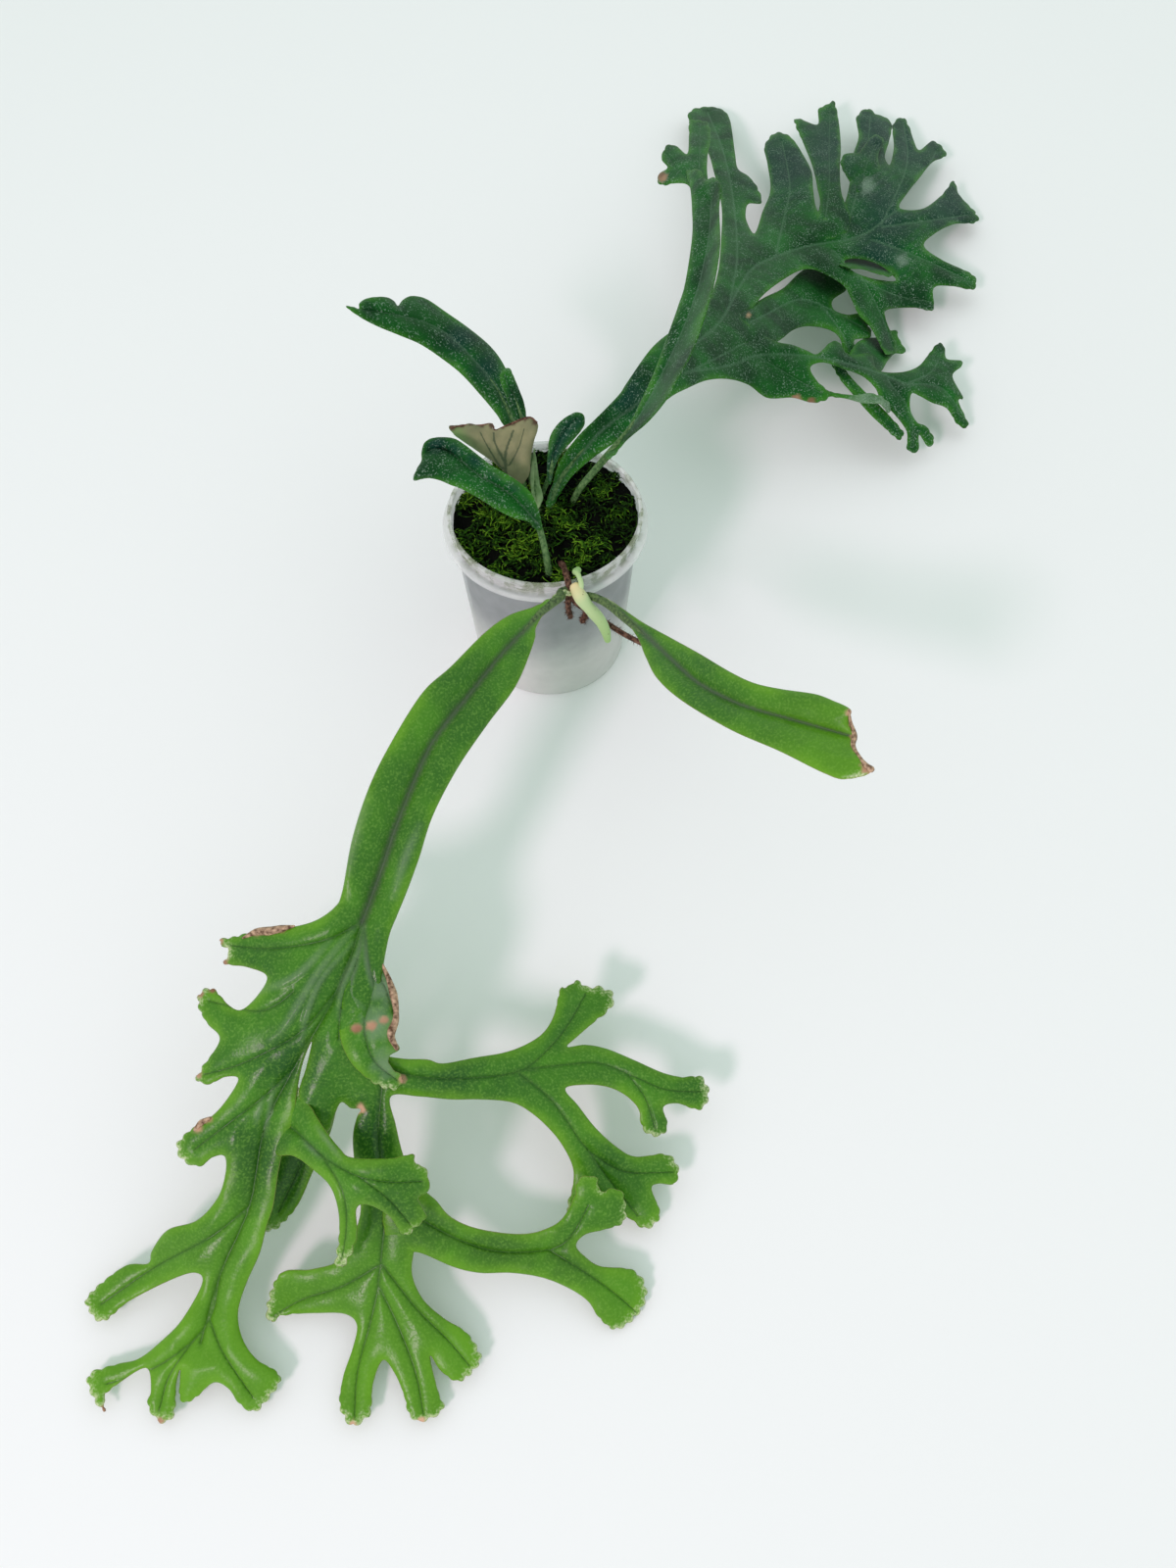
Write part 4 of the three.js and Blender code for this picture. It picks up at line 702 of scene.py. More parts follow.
# Front frond: a strap that hangs over the rim and forks into fans that come down to the surface
frontStrapLeft = [
    (579, 602), (564, 609), (545, 619), (519, 628), (494, 646), (460, 680), (430, 708), (396, 763),
    (375, 807), (359, 857), (349, 910), (341, 926), (320, 940),
]
frontLeftLobes = [
    (291, 947), (262, 950), (240, 956), (224, 960), (234, 972), (229, 983), (252, 987), (272, 996),
    (264, 1014), (247, 1030), (234, 1026), (217, 1009), (204, 1014), (203, 1028), (212, 1045), (224, 1061),
    (206, 1090), (201, 1102), (214, 1106), (230, 1099), (243, 1101), (232, 1121), (217, 1138), (197, 1151),
    (181, 1168), (187, 1184), (204, 1190), (217, 1181), (229, 1180), (230, 1197), (222, 1222), (201, 1245),
    (171, 1255), (155, 1276), (151, 1289), (127, 1292), (92, 1320), (89, 1332), (104, 1348), (133, 1327),
    (177, 1305), (200, 1299), (206, 1310), (186, 1346), (166, 1367), (142, 1386), (119, 1392), (91, 1403),
    (94, 1423), (106, 1440), (107, 1424), (122, 1411), (149, 1396), (154, 1417), (151, 1434), (164, 1451),
    (177, 1443), (180, 1412), (184, 1398), (183, 1423), (188, 1431), (200, 1426), (218, 1411), (233, 1417),
    (244, 1432), (260, 1440), (277, 1422), (286, 1408), (280, 1398), (262, 1387), (248, 1367), (243, 1340),
    (251, 1311), (265, 1279), (272, 1252), (279, 1230), (284, 1197), (290, 1170), (300, 1140), (303, 1115),
]
frontMiddle = [
    (309, 1085), (318, 1063), (312, 1090), (305, 1115), (312, 1138), (322, 1162), (332, 1160), (340, 1142),
    (348, 1125), (358, 1131), (368, 1132), (364, 1140), (360, 1160), (362, 1190), (368, 1232), (360, 1262),
    (346, 1286), (318, 1295), (287, 1299), (273, 1332), (276, 1349), (289, 1342), (324, 1340), (352, 1341),
    (364, 1352), (360, 1375), (350, 1405), (347, 1434), (358, 1454), (371, 1449), (378, 1440), (381, 1411),
    (391, 1388), (403, 1402), (412, 1423), (418, 1443), (430, 1450), (452, 1438), (447, 1420), (439, 1384),
    (450, 1399), (469, 1409), (489, 1390), (487, 1376), (474, 1358), (453, 1345), (432, 1326), (421, 1302),
    (422, 1280), (428, 1262), (430, 1240), (424, 1205), (412, 1180), (404, 1148), (399, 1119),
]
frontRightBranch = [
    (428, 1119), (460, 1122), (490, 1122), (522, 1125), (544, 1137), (565, 1157), (578, 1176), (585, 1194),
    (584, 1213), (579, 1234), (592, 1240), (612, 1232), (640, 1242), (657, 1253), (670, 1247), (673, 1235),
    (665, 1213), (672, 1208), (688, 1208), (692, 1193), (680, 1178), (648, 1180), (629, 1170), (608, 1151),
    (590, 1128), (577, 1111), (597, 1107), (619, 1109), (637, 1117), (651, 1131), (655, 1149), (664, 1158),
    (677, 1157), (681, 1146), (677, 1130), (691, 1126), (714, 1132), (723, 1116), (715, 1099), (696, 1099),
    (675, 1094), (648, 1082), (619, 1070), (597, 1066), (579, 1068), (589, 1058), (605, 1044), (623, 1028),
    (625, 1014), (611, 1007), (600, 1008), (589, 1001), (578, 1008), (572, 1009), (565, 1036), (554, 1054),
    (536, 1066), (514, 1074), (485, 1079), (452, 1085), (436, 1081), (410, 1080), (391, 1074),
]
frontStrapRight = [
    (385, 1050), (386, 1020), (390, 993), (397, 956), (405, 935), (416, 908), (428, 875), (442, 832),
    (467, 784), (497, 740), (527, 699), (545, 655), (547, 641), (556, 625), (568, 614), (583, 606),
]
frontRib = [
    (560, 618), (515, 664), (481, 706), (439, 761), (405, 841), (391, 882), (370, 940), (345, 1010),
    (300, 1090), (270, 1150), (255, 1230), (225, 1300), (205, 1370),
]
frontMain = {
    "outline": [*frontStrapLeft, *frontLeftLobes, *frontMiddle, *frontRightBranch, *frontStrapRight],
    "pins": [
        (580, 604, 89), (545, 640, 96), (480, 700, 100), (455, 760, 96), (410, 850, 86), (375, 940, 73),
        (300, 970, 68), (228, 970, 60), (205, 1015, 57), (207, 1100, 48), (190, 1165, 37), (330, 1040, 64),
        (290, 1100, 52), (250, 1200, 34), (240, 1290, 20), (160, 1300, 9), (92, 1335, 3), (200, 1350, 13),
        (98, 1425, 3), (164, 1445, 2), (190, 1420, 4), (262, 1432, 2.5), (265, 1395, 7), (385, 1050, 57),
        (345, 1110, 47), (322, 1155, 40), (390, 1180, 32), (395, 1240, 26), (380, 1300, 16), (280, 1340, 4),
        (360, 1448, 2.5), (435, 1445, 2), (480, 1395, 3), (450, 1105, 43), (530, 1100, 32), (560, 1060, 27),
        (610, 1010, 18), (650, 1095, 22), (718, 1115, 16), (665, 1150, 13), (600, 1150, 20), (685, 1195, 8),
        (660, 1245, 4), (590, 1200, 12),
    ],
    "folds": [{"line": frontRib, "slope": -0.12, "reach": 28}],
    "stalk": {
        "free": [(9.4, -46.3, 89.2), (7.1, -47.1, 88.9)],
        "along": [(573, 608), (560, 618), (546, 630), (520, 656)], "radii": [1.9, 1.9, 1.7, 1.2, 0.6],
    },
}
plainFront = {"ribs": [], "pleats": [], "fine": []}
# a lobe that crosses over the middle fan
frontCrossing = {
    "outline": [
        (262, 1160), (272, 1130), (290, 1110), (305, 1112), (332, 1153), (347, 1172), (359, 1181),
        (397, 1182), (421, 1178), (424, 1188), (434, 1192), (438, 1214), (427, 1223), (435, 1241),
        (424, 1252), (412, 1260), (397, 1241), (377, 1230), (364, 1233), (364, 1262), (352, 1290),
        (343, 1290), (346, 1262), (345, 1235), (337, 1211), (320, 1194), (300, 1180), (280, 1178),
    ],
    "pins": [
        (280, 1150, 44), (310, 1150, 48), (335, 1180, 51), (365, 1205, 53), (420, 1195, 52),
        (425, 1245, 43), (350, 1230, 47), (348, 1285, 32),
    ],
    "from": frontMain, "root": [(262, 1165), (285, 1125)], "hold": 6, "leave": 34, "offset": -1.7,
    "style": {
        **plainFront,
        "veins": [
            ([(272, 1135), (300, 1152), (330, 1180), (365, 1200), (400, 1206), (430, 1205)], (3.0, 1.0)),
            ([(365, 1200), (395, 1222), (418, 1248)], (1.5, 0.8)),
            ([(330, 1180), (350, 1215), (354, 1250), (349, 1285)], (2.0, 0.8)),
        ],
        "pleats": [([(323, 1150), (348, 1182)], 2.2, 0.4), ([(309, 1164), (328, 1182)], 2.2, 0.4)],
    },
}
# a blistered lobe that folds back over the fork
frontBlistered = {
    "outline": [
        (366, 950), (384, 965), (392, 985), (403, 1018), (406, 1038), (400, 1056), (408, 1070), (397, 1078),
        (399, 1089), (411, 1100), (404, 1111), (388, 1108), (372, 1098), (358, 1084), (348, 1063),
        (345, 1036), (348, 1010), (356, 975),
    ],
    "pins": [
        (370, 965, 70), (400, 1035, 64), (350, 1040, 64), (370, 1020, 67), (375, 1070, 62), (407, 1102, 53),
    ],
    "from": frontMain, "root": [(366, 950), (360, 975), (380, 975)], "hold": 6, "leave": 50, "offset": -1.2,
    "style": {
        **plainFront,
        "veins": [
            ([(366, 952), (372, 985), (378, 1012), (372, 1045), (380, 1080), (405, 1102)], (2.5, 0.8)),
            ([(372, 985), (392, 1005), (402, 1035)], (1.5, 0.8)),
        ],
        "pale": [(392, 1010, 22), (385, 1045, 26), (395, 1085, 22)],
    },
}
# a lobe that passes behind the left stem, darkened all over with painted shade
frontBehind = {
    "outline": [
        (312, 1092), (332, 1082), (346, 1100), (342, 1138), (332, 1170), (320, 1194), (306, 1226),
        (292, 1244), (275, 1256), (262, 1243), (262, 1215), (275, 1190), (292, 1160), (304, 1125),
    ],
    "pins": [(325, 1110, 47), (325, 1145, 36), (305, 1185, 22), (280, 1235, 12), (300, 1150, 33)],
    "from": frontMain, "root": [(325, 1085), (325, 1112)], "hold": 8, "leave": 40, "offset": -0.4,
    "style": {
        **plainFront, "veins": [([(325, 1092), (325, 1130), (308, 1185), (285, 1235)], (2.0, 1.0))],
        "dark": [(305, 1180, 110)],
    },
}
# a branch that sweeps to the right from the middle fan
frontSweep = {
    "outline": [
        (392, 1205), (415, 1205), (442, 1222), (458, 1240), (479, 1251), (506, 1257), (533, 1259),
        (554, 1255), (573, 1244), (586, 1221), (589, 1206), (598, 1200), (609, 1203), (612, 1216),
        (624, 1213), (635, 1217), (638, 1236), (635, 1248), (616, 1255), (597, 1260), (588, 1271),
        (598, 1283), (613, 1292), (645, 1296), (659, 1315), (652, 1339), (629, 1356), (611, 1344),
        (600, 1328), (581, 1315), (554, 1304), (522, 1299), (490, 1299), (463, 1293), (430, 1279),
        (408, 1275), (392, 1255),
    ],
    "pins": [
        (400, 1240, 26), (440, 1250, 25), (511, 1277, 17), (570, 1262, 17), (595, 1225, 22),
        (630, 1225, 20), (605, 1300, 10), (650, 1315, 4), (620, 1345, 3),
    ],
    "folds": [{
        "line": [(400, 1225), (431, 1242), (460, 1264), (511, 1277), (560, 1275)], "slope": -0.1,
        "reach": 20,
    }],
    "from": frontMain, "root": [(398, 1215), (398, 1260)], "hold": 6, "leave": 40, "offset": 0.3,
    "style": {
        **plainFront,
        "veins": [
            ([(398, 1222), (431, 1245), (474, 1267), (511, 1277), (560, 1275), (582, 1262), (600, 1230)],
             (3.0, 0.8)),
            ([(560, 1275), (600, 1300), (630, 1322), (648, 1338)], (2.5, 0.8)),
        ],
    },
}
frontVeins = [
    (frontRib[6:], (3.5, 2.6)), ([(362, 945), (330, 960), (280, 968), (235, 965)], (3.0, 1.0)),
    ([(300, 1012), (285, 1024), (262, 1032), (215, 1022)], (2.5, 1.0)),
    ([(345, 1010), (310, 1050), (275, 1072), (240, 1088), (210, 1096)], (2.5, 1.0)),
    ([(300, 1090), (270, 1118), (235, 1145), (200, 1172)], (2.5, 1.0)),
    ([(255, 1230), (215, 1262), (160, 1292), (105, 1330)], (2.5, 0.8)),
    ([(225, 1300), (212, 1350), (165, 1392), (110, 1412)], (2.5, 0.8)),
    ([(212, 1350), (175, 1400), (163, 1438)], (1.5, 0.8)),
    ([(214, 1345), (228, 1380), (258, 1425)], (2.0, 0.8)),
    ([(371, 948), (362, 990), (348, 1030), (346, 1060)], (3.0, 1.5)),
    ([(372, 948), (376, 985), (384, 1012), (388, 1060), (390, 1100), (386, 1160), (394, 1230)], (3.0, 3.0)),
    ([(394, 1230), (386, 1310), (378, 1350), (365, 1400), (362, 1445)], (3.0, 0.8)),
    ([(386, 1310), (405, 1350), (424, 1400), (432, 1442)], (2.5, 0.8)),
    ([(390, 1290), (425, 1335), (455, 1365), (478, 1392)], (2.5, 0.8)),
    ([(388, 1290), (350, 1312), (310, 1325), (280, 1342)], (2.5, 0.8)),
    ([(390, 1090), (430, 1099), (480, 1100), (530, 1093), (560, 1070), (580, 1045), (597, 1015)],
     (2.5, 0.8)),
    ([(530, 1092), (575, 1087), (611, 1085), (650, 1100), (680, 1112), (715, 1114)], (2.0, 0.8)),
    ([(640, 1096), (658, 1120), (668, 1150)], (1.2, 0.8)),
    ([(530, 1096), (560, 1120), (580, 1146), (598, 1171), (635, 1195), (685, 1196)], (2.0, 0.8)),
    ([(598, 1171), (622, 1205), (650, 1240)], (1.5, 0.8)),
]
frontPleats = [
    ([(360, 948), (325, 992), (291, 1047), (275, 1061)], 3.4, 1.3),
    ([(360, 962), (328, 999), (312, 1038), (308, 1065)], 3.0, 1.1),
    ([(337, 960), (305, 994), (268, 1012)], 3.2, 0.9),
    ([(371, 946), (367, 969), (358, 987), (348, 1010), (346, 1038)], 3.2, 1.2),
    ([(368, 976), (359, 1001), (360, 1017), (371, 1029)], 2.6, 0.8),
    ([(372, 948), (374, 980), (380, 1006), (387, 1015)], 2.6, 0.8),
    ([(279, 1107), (275, 1134), (270, 1159)], 2.6, 0.6), ([(268, 1120), (261, 1146)], 2.6, 0.5),
    ([(374, 812), (360, 856), (351, 900)], 5.5, 1.5), ([(428, 842), (412, 880), (402, 915)], 4.0, 0.9),
]
frontStyle = {
    "pitch": 2.7, "ribs": [([(584, 602), (572, 609), *frontRib[:7]], (5.0, 7.5))], "pleats": frontPleats,
    "fine": [(335, 995, 58)], "tooth": 12, "toothDepth": 3.6, "endReach": 30, "endFade": 9, "pale": [],
    # dark spots: painted shade in the fans' middles and on lobes that lie under others, partly the blade's
    # own deeper blue-green
    "dark": [
        (262, 1190, 60), (300, 1080, 50), (378, 1160, 50), (395, 1240, 40), (430, 1250, 55),
        (510, 1278, 60), (585, 1280, 40), (240, 1000, 35), (460, 1100, 40),
    ],
    "half": 0.42, "round": 1.1, "crown": 0.045, "crownWidth": 30, "groove": 0.45, "wave": 0.55,
    "waveSize": 13, "waveReach": 9, "pucker": 0.16, "puckerSize": 8, "floor": 0.7,
    "tip": ((330, 1130), (300, 1420)), "veins": frontVeins,
    "dead": [
        (262, 951, 6), (276, 949, 6), (288, 948, 5), (224, 961, 5), (229, 982, 5), (205, 1015, 4),
        (217, 1010, 4), (203, 1096, 4), (203, 1150, 6), (213, 1142, 5), (369, 1131, 6), (411, 1101, 5),
        (363, 1049, 6), (379, 1047, 6), (392, 1041, 5), (106, 1438, 4), (164, 1449, 4), (360, 1452, 4),
        (430, 1449, 4),
    ],
}
dryRolls = [rolledMargin(*roll) for roll in (
    (frontMain, [(248, 957), (262, 951), (276, 950), (290, 947), (300, 945)], [0.4, 1.3, 1.7, 1.4, 0.4]),
    (
        frontBlistered, [(388, 980), (397, 1000), (403, 1022), (404, 1040), (399, 1056), (405, 1070)],
        [0.4, 0.9, 1.5, 1.0, 1.6, 0.8],
    ),
    (frontMain, [(199, 1153), (205, 1146), (214, 1141)], [0.6, 1.2, 0.6]),
)]
leafPiece("frondFrontCrested", [frontMain, frontCrossing, frontBlistered, frontBehind, frontSweep],
          frontStyle, freshFinishes, "frond_front_crested", dryRolls)

# Right leaf: a strap that rises to a torn, dry end
rightLeaf = {
    "outline": [
        (604, 606), (620, 611), (637, 622), (656, 635), (685, 651), (714, 667), (746, 686), (770, 697),
        (797, 703), (831, 708), (848, 714), (868, 724), (866, 736), (872, 750), (871, 762), (882, 779),
        (889, 785), (886, 790), (872, 794), (857, 795), (843, 790), (828, 783), (794, 766), (746, 745),
        (697, 716), (671, 693), (659, 671), (650, 650), (632, 626), (612, 612),
    ],
    "pins": [
        (605, 608, 87.6), (640, 628, 96), (676, 664, 107), (714, 698, 116), (758, 720, 124),
        (807, 734, 131), (867, 751, 138), (720, 665, 117), (800, 765, 128),
    ],
    "folds": [{
        "line": [(620, 615), (637, 628), (676, 664), (714, 698), (758, 720), (807, 734), (867, 751)],
        "slope": -0.12, "reach": 24,
    }],
    "stalk": {
        "free": [(13.9, -45.9, 86.9), (16.8, -46.6, 86.6)],
        "along": [(608, 610), (622, 618), (638, 632), (660, 652)], "radii": [1.7, 1.7, 1.6, 1.2, 0.6],
    },
}
rightStyle = {
    **frontStyle, "pitch": 2.4,
    "ribs": [([
        (600, 606), (620, 615), (637, 628), (676, 664), (714, 698), (758, 720), (807, 734), (867, 751),
    ], (5.5, 3.5))],
    "veins": [], "pleats": [], "fine": [], "toothDepth": 0.4, "tip": ((700, 690), (900, 800)),
    "dead": [(868, 728, 5), (871, 740, 5), (873, 753, 6), (874, 765, 4), (884, 783, 7), (889, 787, 5)],
}
rightRoll = rolledMargin(
    rightLeaf, [(866, 725), (868, 737), (872, 750), (871, 762), (882, 779), (889, 785)],
    [0.4, 0.6, 1.0, 0.6, 0.6, 1.1],
)
leafPiece("frondRightCut", [rightLeaf], rightStyle, freshFinishes, "frond_right_cut", [rightRoll])
print("fresh fronds made")

# Rear frond: a long base that forks into a broad fan of dark lobes
rearBase = [
    (563, 497), (571, 471), (589, 446), (606, 429), (621, 414), (633, 401), (640, 390), (665, 355),
    (690, 335), (716, 322), (726, 300), (733, 275), (736, 240), (736, 209),
]
rearUpperLobes = [
    (727, 170), (722, 155), (712, 140), (703, 124), (705, 113), (722, 109), (737, 112), (745, 123),
    (750, 156), (753, 172), (764, 180), (773, 192), (777, 207), (764, 208), (761, 216), (762, 226),
    (770, 238), (778, 216), (786, 194), (783, 167), (780, 150), (789, 137), (799, 136), (809, 142),
    (819, 157), (828, 175), (830, 195), (833, 212), (842, 222), (858, 214), (866, 192), (870, 160),
    (876, 140), (874, 120), (885, 111), (895, 117), (904, 120), (910, 128), (907, 145), (903, 160),
    (908, 168), (912, 150), (911, 128), (921, 120), (928, 130), (932, 142), (938, 153), (951, 144),
    (961, 150), (965, 159), (951, 166), (938, 182), (926, 197), (918, 212), (941, 213), (961, 199),
    (973, 185), (979, 199), (996, 218), (996, 227), (973, 229), (953, 239), (943, 251),
]
rearArch = [
    (961, 265), (993, 281), (993, 295), (971, 292), (953, 294), (952, 316), (933, 314), (906, 316),
    (904, 326), (915, 356), (904, 361), (896, 348), (888, 334), (876, 321), (868, 304), (861, 292),
    (846, 282), (829, 275), (814, 277), (794, 289), (779, 301), (768, 314), (756, 322), (772, 336),
    (791, 348),
]
rearLowerBranch = [
    (809, 352), (824, 358), (834, 361), (848, 349), (857, 350), (866, 362), (888, 361), (894, 376),
    (906, 380), (924, 379), (938, 373), (948, 361), (958, 350), (964, 355), (966, 366), (981, 368),
    (981, 374), (972, 384), (983, 406), (978, 409), (988, 434), (978, 434), (966, 417), (951, 411),
    (938, 404), (930, 402), (929, 418), (936, 431), (945, 435), (953, 449), (947, 456), (938, 444),
    (937, 460), (926, 459), (925, 440), (911, 421), (899, 409), (893, 396), (880, 384), (862, 377),
    (840, 370), (827, 375), (834, 389), (846, 400), (844, 407), (829, 411), (809, 406), (783, 406),
    (764, 393), (744, 387), (722, 388), (702, 396), (682, 407), (655, 432), (630, 450), (607, 466),
    (586, 484), (574, 500),
]
rearRib = [
    (565, 510), (575, 484), (600, 455), (646, 415), (680, 385), (705, 355), (730, 325), (752, 297),
    (775, 275), (810, 258), (850, 246), (880, 225),
]
rearMain = {
    "outline": [(557, 515), *rearBase, *rearUpperLobes, *rearArch, *rearLowerBranch, (563, 517)],
    "pins": [
        (560, 518, 86), (575, 480, 92), (610, 440, 99), (650, 405, 103), (690, 375, 98), (715, 345, 88),
        (745, 315, 73), (770, 270, 56), (742, 230, 50), (730, 165, 31), (720, 112, 8), (775, 200, 34),
        (795, 140, 24), (800, 200, 38), (820, 255, 44), (860, 240, 41), (880, 180, 34), (887, 115, 16),
        (922, 125, 12), (958, 152, 11), (932, 185, 26), (974, 190, 12), (995, 223, 7), (950, 238, 24),
        (990, 288, 12), (950, 312, 14), (905, 300, 25), (910, 356, 13), (800, 372, 54), (840, 405, 44),
        (785, 402, 50), (870, 368, 40), (930, 390, 29), (978, 371, 14), (984, 430, 8), (950, 452, 9),
        (930, 456, 11), (960, 353, 15),
    ],
    "folds": [{"line": rearRib, "slope": -0.1, "reach": 18}],
    "holes": [[
        (862, 266), (874, 264), (891, 268), (904, 275), (914, 286), (900, 286), (886, 283), (873, 278),
        (865, 272),
    ]],
    "stalk": {
        "free": [(1.2, 1.4, 78.5), (1.5, 2.2, 83)],
        "along": [(563, 507), (572, 488), (590, 462), (615, 436)], "radii": [1.8, 1.8, 1.6, 1.2, 0.6],
    },
}
plainRear = {"ribs": [], "veins": [], "dead": []}
rearBehindArch = {
    "outline": [
        (738, 330), (757, 318), (779, 304), (799, 294), (816, 278), (832, 270), (852, 278), (864, 294),
        (850, 306), (851, 316), (864, 321), (879, 321), (889, 339), (886, 345), (872, 347), (873, 357),
        (869, 365), (862, 360), (856, 344), (844, 336), (824, 333), (809, 337), (790, 350), (760, 352),
        (738, 345),
    ],
    "pins": [
        (745, 338, 72), (800, 312, 48), (832, 285, 33), (850, 335, 33), (885, 335, 22), (868, 360, 25),
    ],
    "from": rearMain, "root": [(748, 320), (762, 346)], "hold": 10, "leave": 36, "offset": -0.4,
    "style": {
        "ribs": [],
        "veins": [
            ([(745, 338), (780, 322), (815, 306), (850, 318), (882, 336)], (2.2, 1.4)),
            ([(835, 310), (855, 335), (868, 358)], (1.8, 1.2)),
        ],
    },
}
rearBetween = {
    "outline": [
        (811, 125), (815, 121), (834, 127), (835, 112), (844, 107), (851, 104), (856, 125), (858, 150),
        (857, 172), (859, 198), (868, 222), (862, 240), (838, 246), (822, 240), (836, 212), (834, 192),
        (829, 170), (820, 147),
    ],
    "pins": [(845, 235, 44), (845, 190, 40), (845, 150, 30), (850, 108, 20), (814, 124, 22)],
    "from": rearMain, "root": [(828, 242), (862, 236)], "hold": 8, "leave": 34, "offset": 0.35,
    "style": {"ribs": [], "veins": [([(840, 240), (846, 190), (846, 150), (847, 112)], (1.5, 0.7))]},
}
# a small lobe that stands up in front of the upper ones
rearSmallLobe = {
    "outline": [
        (858, 168), (861, 158), (869, 156), (876, 156), (880, 151), (886, 143), (892, 138), (900, 140),
        (901, 147), (898, 153), (896, 161), (898, 170), (901, 178), (896, 190), (887, 200), (876, 198),
        (866, 184),
    ],
    "pins": [(885, 196, 34), (880, 170, 37), (896, 142, 31), (860, 165, 37), (899, 175, 32)],
    "from": rearMain, "root": [(878, 200), (894, 200)], "hold": 3, "leave": 24, "offset": 0.3,
    "style": {
        **plainRear, "veins": [([(886, 198), (882, 176), (893, 148)], (1.2, 0.6))],
        "pale": [(886, 190, 16)],
    },
}
# a lobe below the opening, darkened by a dark spot that is partly painted shade
rearUnderSlit = {
    "outline": [
        (854, 258), (868, 254), (890, 257), (907, 266), (916, 276), (908, 282), (893, 279), (880, 275),
        (868, 274), (857, 270),
    ],
    "pins": [(858, 264, 36), (880, 268, 31), (912, 276, 26)], "style": plainRear,
}
# a lobe under the lower branch, and the thin curled strands in front of it
rearUnderBranch = {
    "outline": [
        (860, 374), (866, 362), (874, 350), (884, 345), (895, 344), (902, 339), (908, 337), (915, 338),
        (917, 346), (924, 357), (921, 361), (913, 361), (906, 368), (898, 380), (885, 380), (870, 378),
    ],
    "pins": [
        (862, 372, 38), (874, 362, 31), (886, 356, 22), (896, 350, 12.5), (910, 345, 8.5), (921, 358, 7),
    ],
    "style": plainRear,
}
rearStrand = {
    "outline": [
        (849, 371), (858, 373), (866, 382), (874, 391), (883, 400), (893, 409), (902, 418), (911, 428),
        (921, 440), (921, 446), (916, 448), (903, 437), (890, 425), (879, 413), (868, 400), (858, 388),
    ],
    "pins": [
        (852, 374, 40), (866, 382, 38.5), (858, 388, 37.5), (902, 418, 29.5), (890, 425, 29),
        (920, 442, 22),
    ],
    "style": plainRear,
}
rearCurl = {
    "outline": [
        (838, 398), (848, 400), (860, 402), (874, 403), (887, 401), (898, 404), (906, 410), (909, 417),
        (905, 421), (899, 413), (888, 412), (878, 411), (864, 407), (850, 405), (840, 403),
    ],
    "pins": [
        (848, 398, 43), (850, 405, 42), (886, 400, 39), (878, 411, 38.5), (908, 416, 34), (897, 403, 36),
    ],
    "style": {**plainRear, "pale": [(880, 408, 34), (900, 412, 30)]},
}
rearVeins = [
    ([(680, 388), (705, 355), (735, 328), (752, 297), (768, 274), (794, 261), (827, 251), (861, 246)],
     (3.0, 2.0)),
    ([(861, 246), (885, 238), (905, 222), (930, 202), (955, 155)], (2.2, 1.2)),
    ([(699, 380), (745, 373), (775, 362), (827, 364), (875, 374), (925, 392)], (3.0, 1.6)),
    ([(699, 381), (732, 365), (756, 352), (775, 344)], (2.4, 1.6)),
    ([(745, 305), (752, 262), (748, 205), (738, 155), (722, 115)], (2.2, 1.4)),
    ([(792, 258), (800, 222), (806, 190), (798, 145)], (2.2, 1.2)),
    ([(861, 246), (872, 205), (884, 160), (888, 118)], (2.2, 1.2)),
    ([(900, 228), (925, 170), (922, 128)], (1.8, 1.2)), ([(900, 232), (945, 226), (985, 220)], (2.2, 1.2)),
    ([(890, 245), (935, 262), (990, 288)], (2.2, 1.2)),
    ([(850, 256), (880, 285), (915, 302), (948, 308)], (2.2, 1.2)),
    ([(880, 285), (898, 320), (910, 354)], (1.8, 1.2)), ([(925, 392), (950, 380), (962, 358)], (1.8, 1.2)),
    ([(925, 392), (960, 396), (985, 428)], (1.8, 1.2)), ([(905, 388), (928, 420), (932, 455)], (1.8, 1.2)),
    ([(770, 362), (800, 380), (838, 402)], (1.8, 1.2)),
]
rearStyle = {
    "pitch": 2.3,
    "ribs": [([(562, 508), (575, 484), (600, 455), (615, 438), (646, 415), (680, 390)], (4.5, 3.0))],
    "pleats": [], "fine": [], "tooth": 9, "toothDepth": 1.7, "endReach": 17, "endFade": 6,
    "pale": [(884, 190, 22), (920, 266, 16)],
    # dark spots: partly painted shade on the lobes under others, partly the lobes' own deeper blue-green
    "dark": [
        (800, 170, 55), (848, 150, 50), (890, 130, 50), (928, 150, 50), (905, 215, 55), (898, 258, 42),
        (965, 212, 42), (640, 405, 30),
    ],
    "half": 0.42, "round": 1.1, "crown": 0.06, "crownWidth": 22, "groove": 0.45, "wave": 0.8, "waveSize": 9,
    "waveReach": 8, "pucker": 0.45, "puckerSize": 11, "floor": 0.7, "tip": ((0, 0), (1, 1)),
    "veins": rearVeins, "dead": [(812, 408, 6), (828, 410, 5), (763, 322, 2.5)],
}
leafPiece("frondRearCrested", [rearMain, rearBehindArch, rearBetween, rearSmallLobe, rearUnderSlit,
                               rearUnderBranch, rearStrand, rearCurl],
          rearStyle, matureFinishes, "frond_rear_crested")

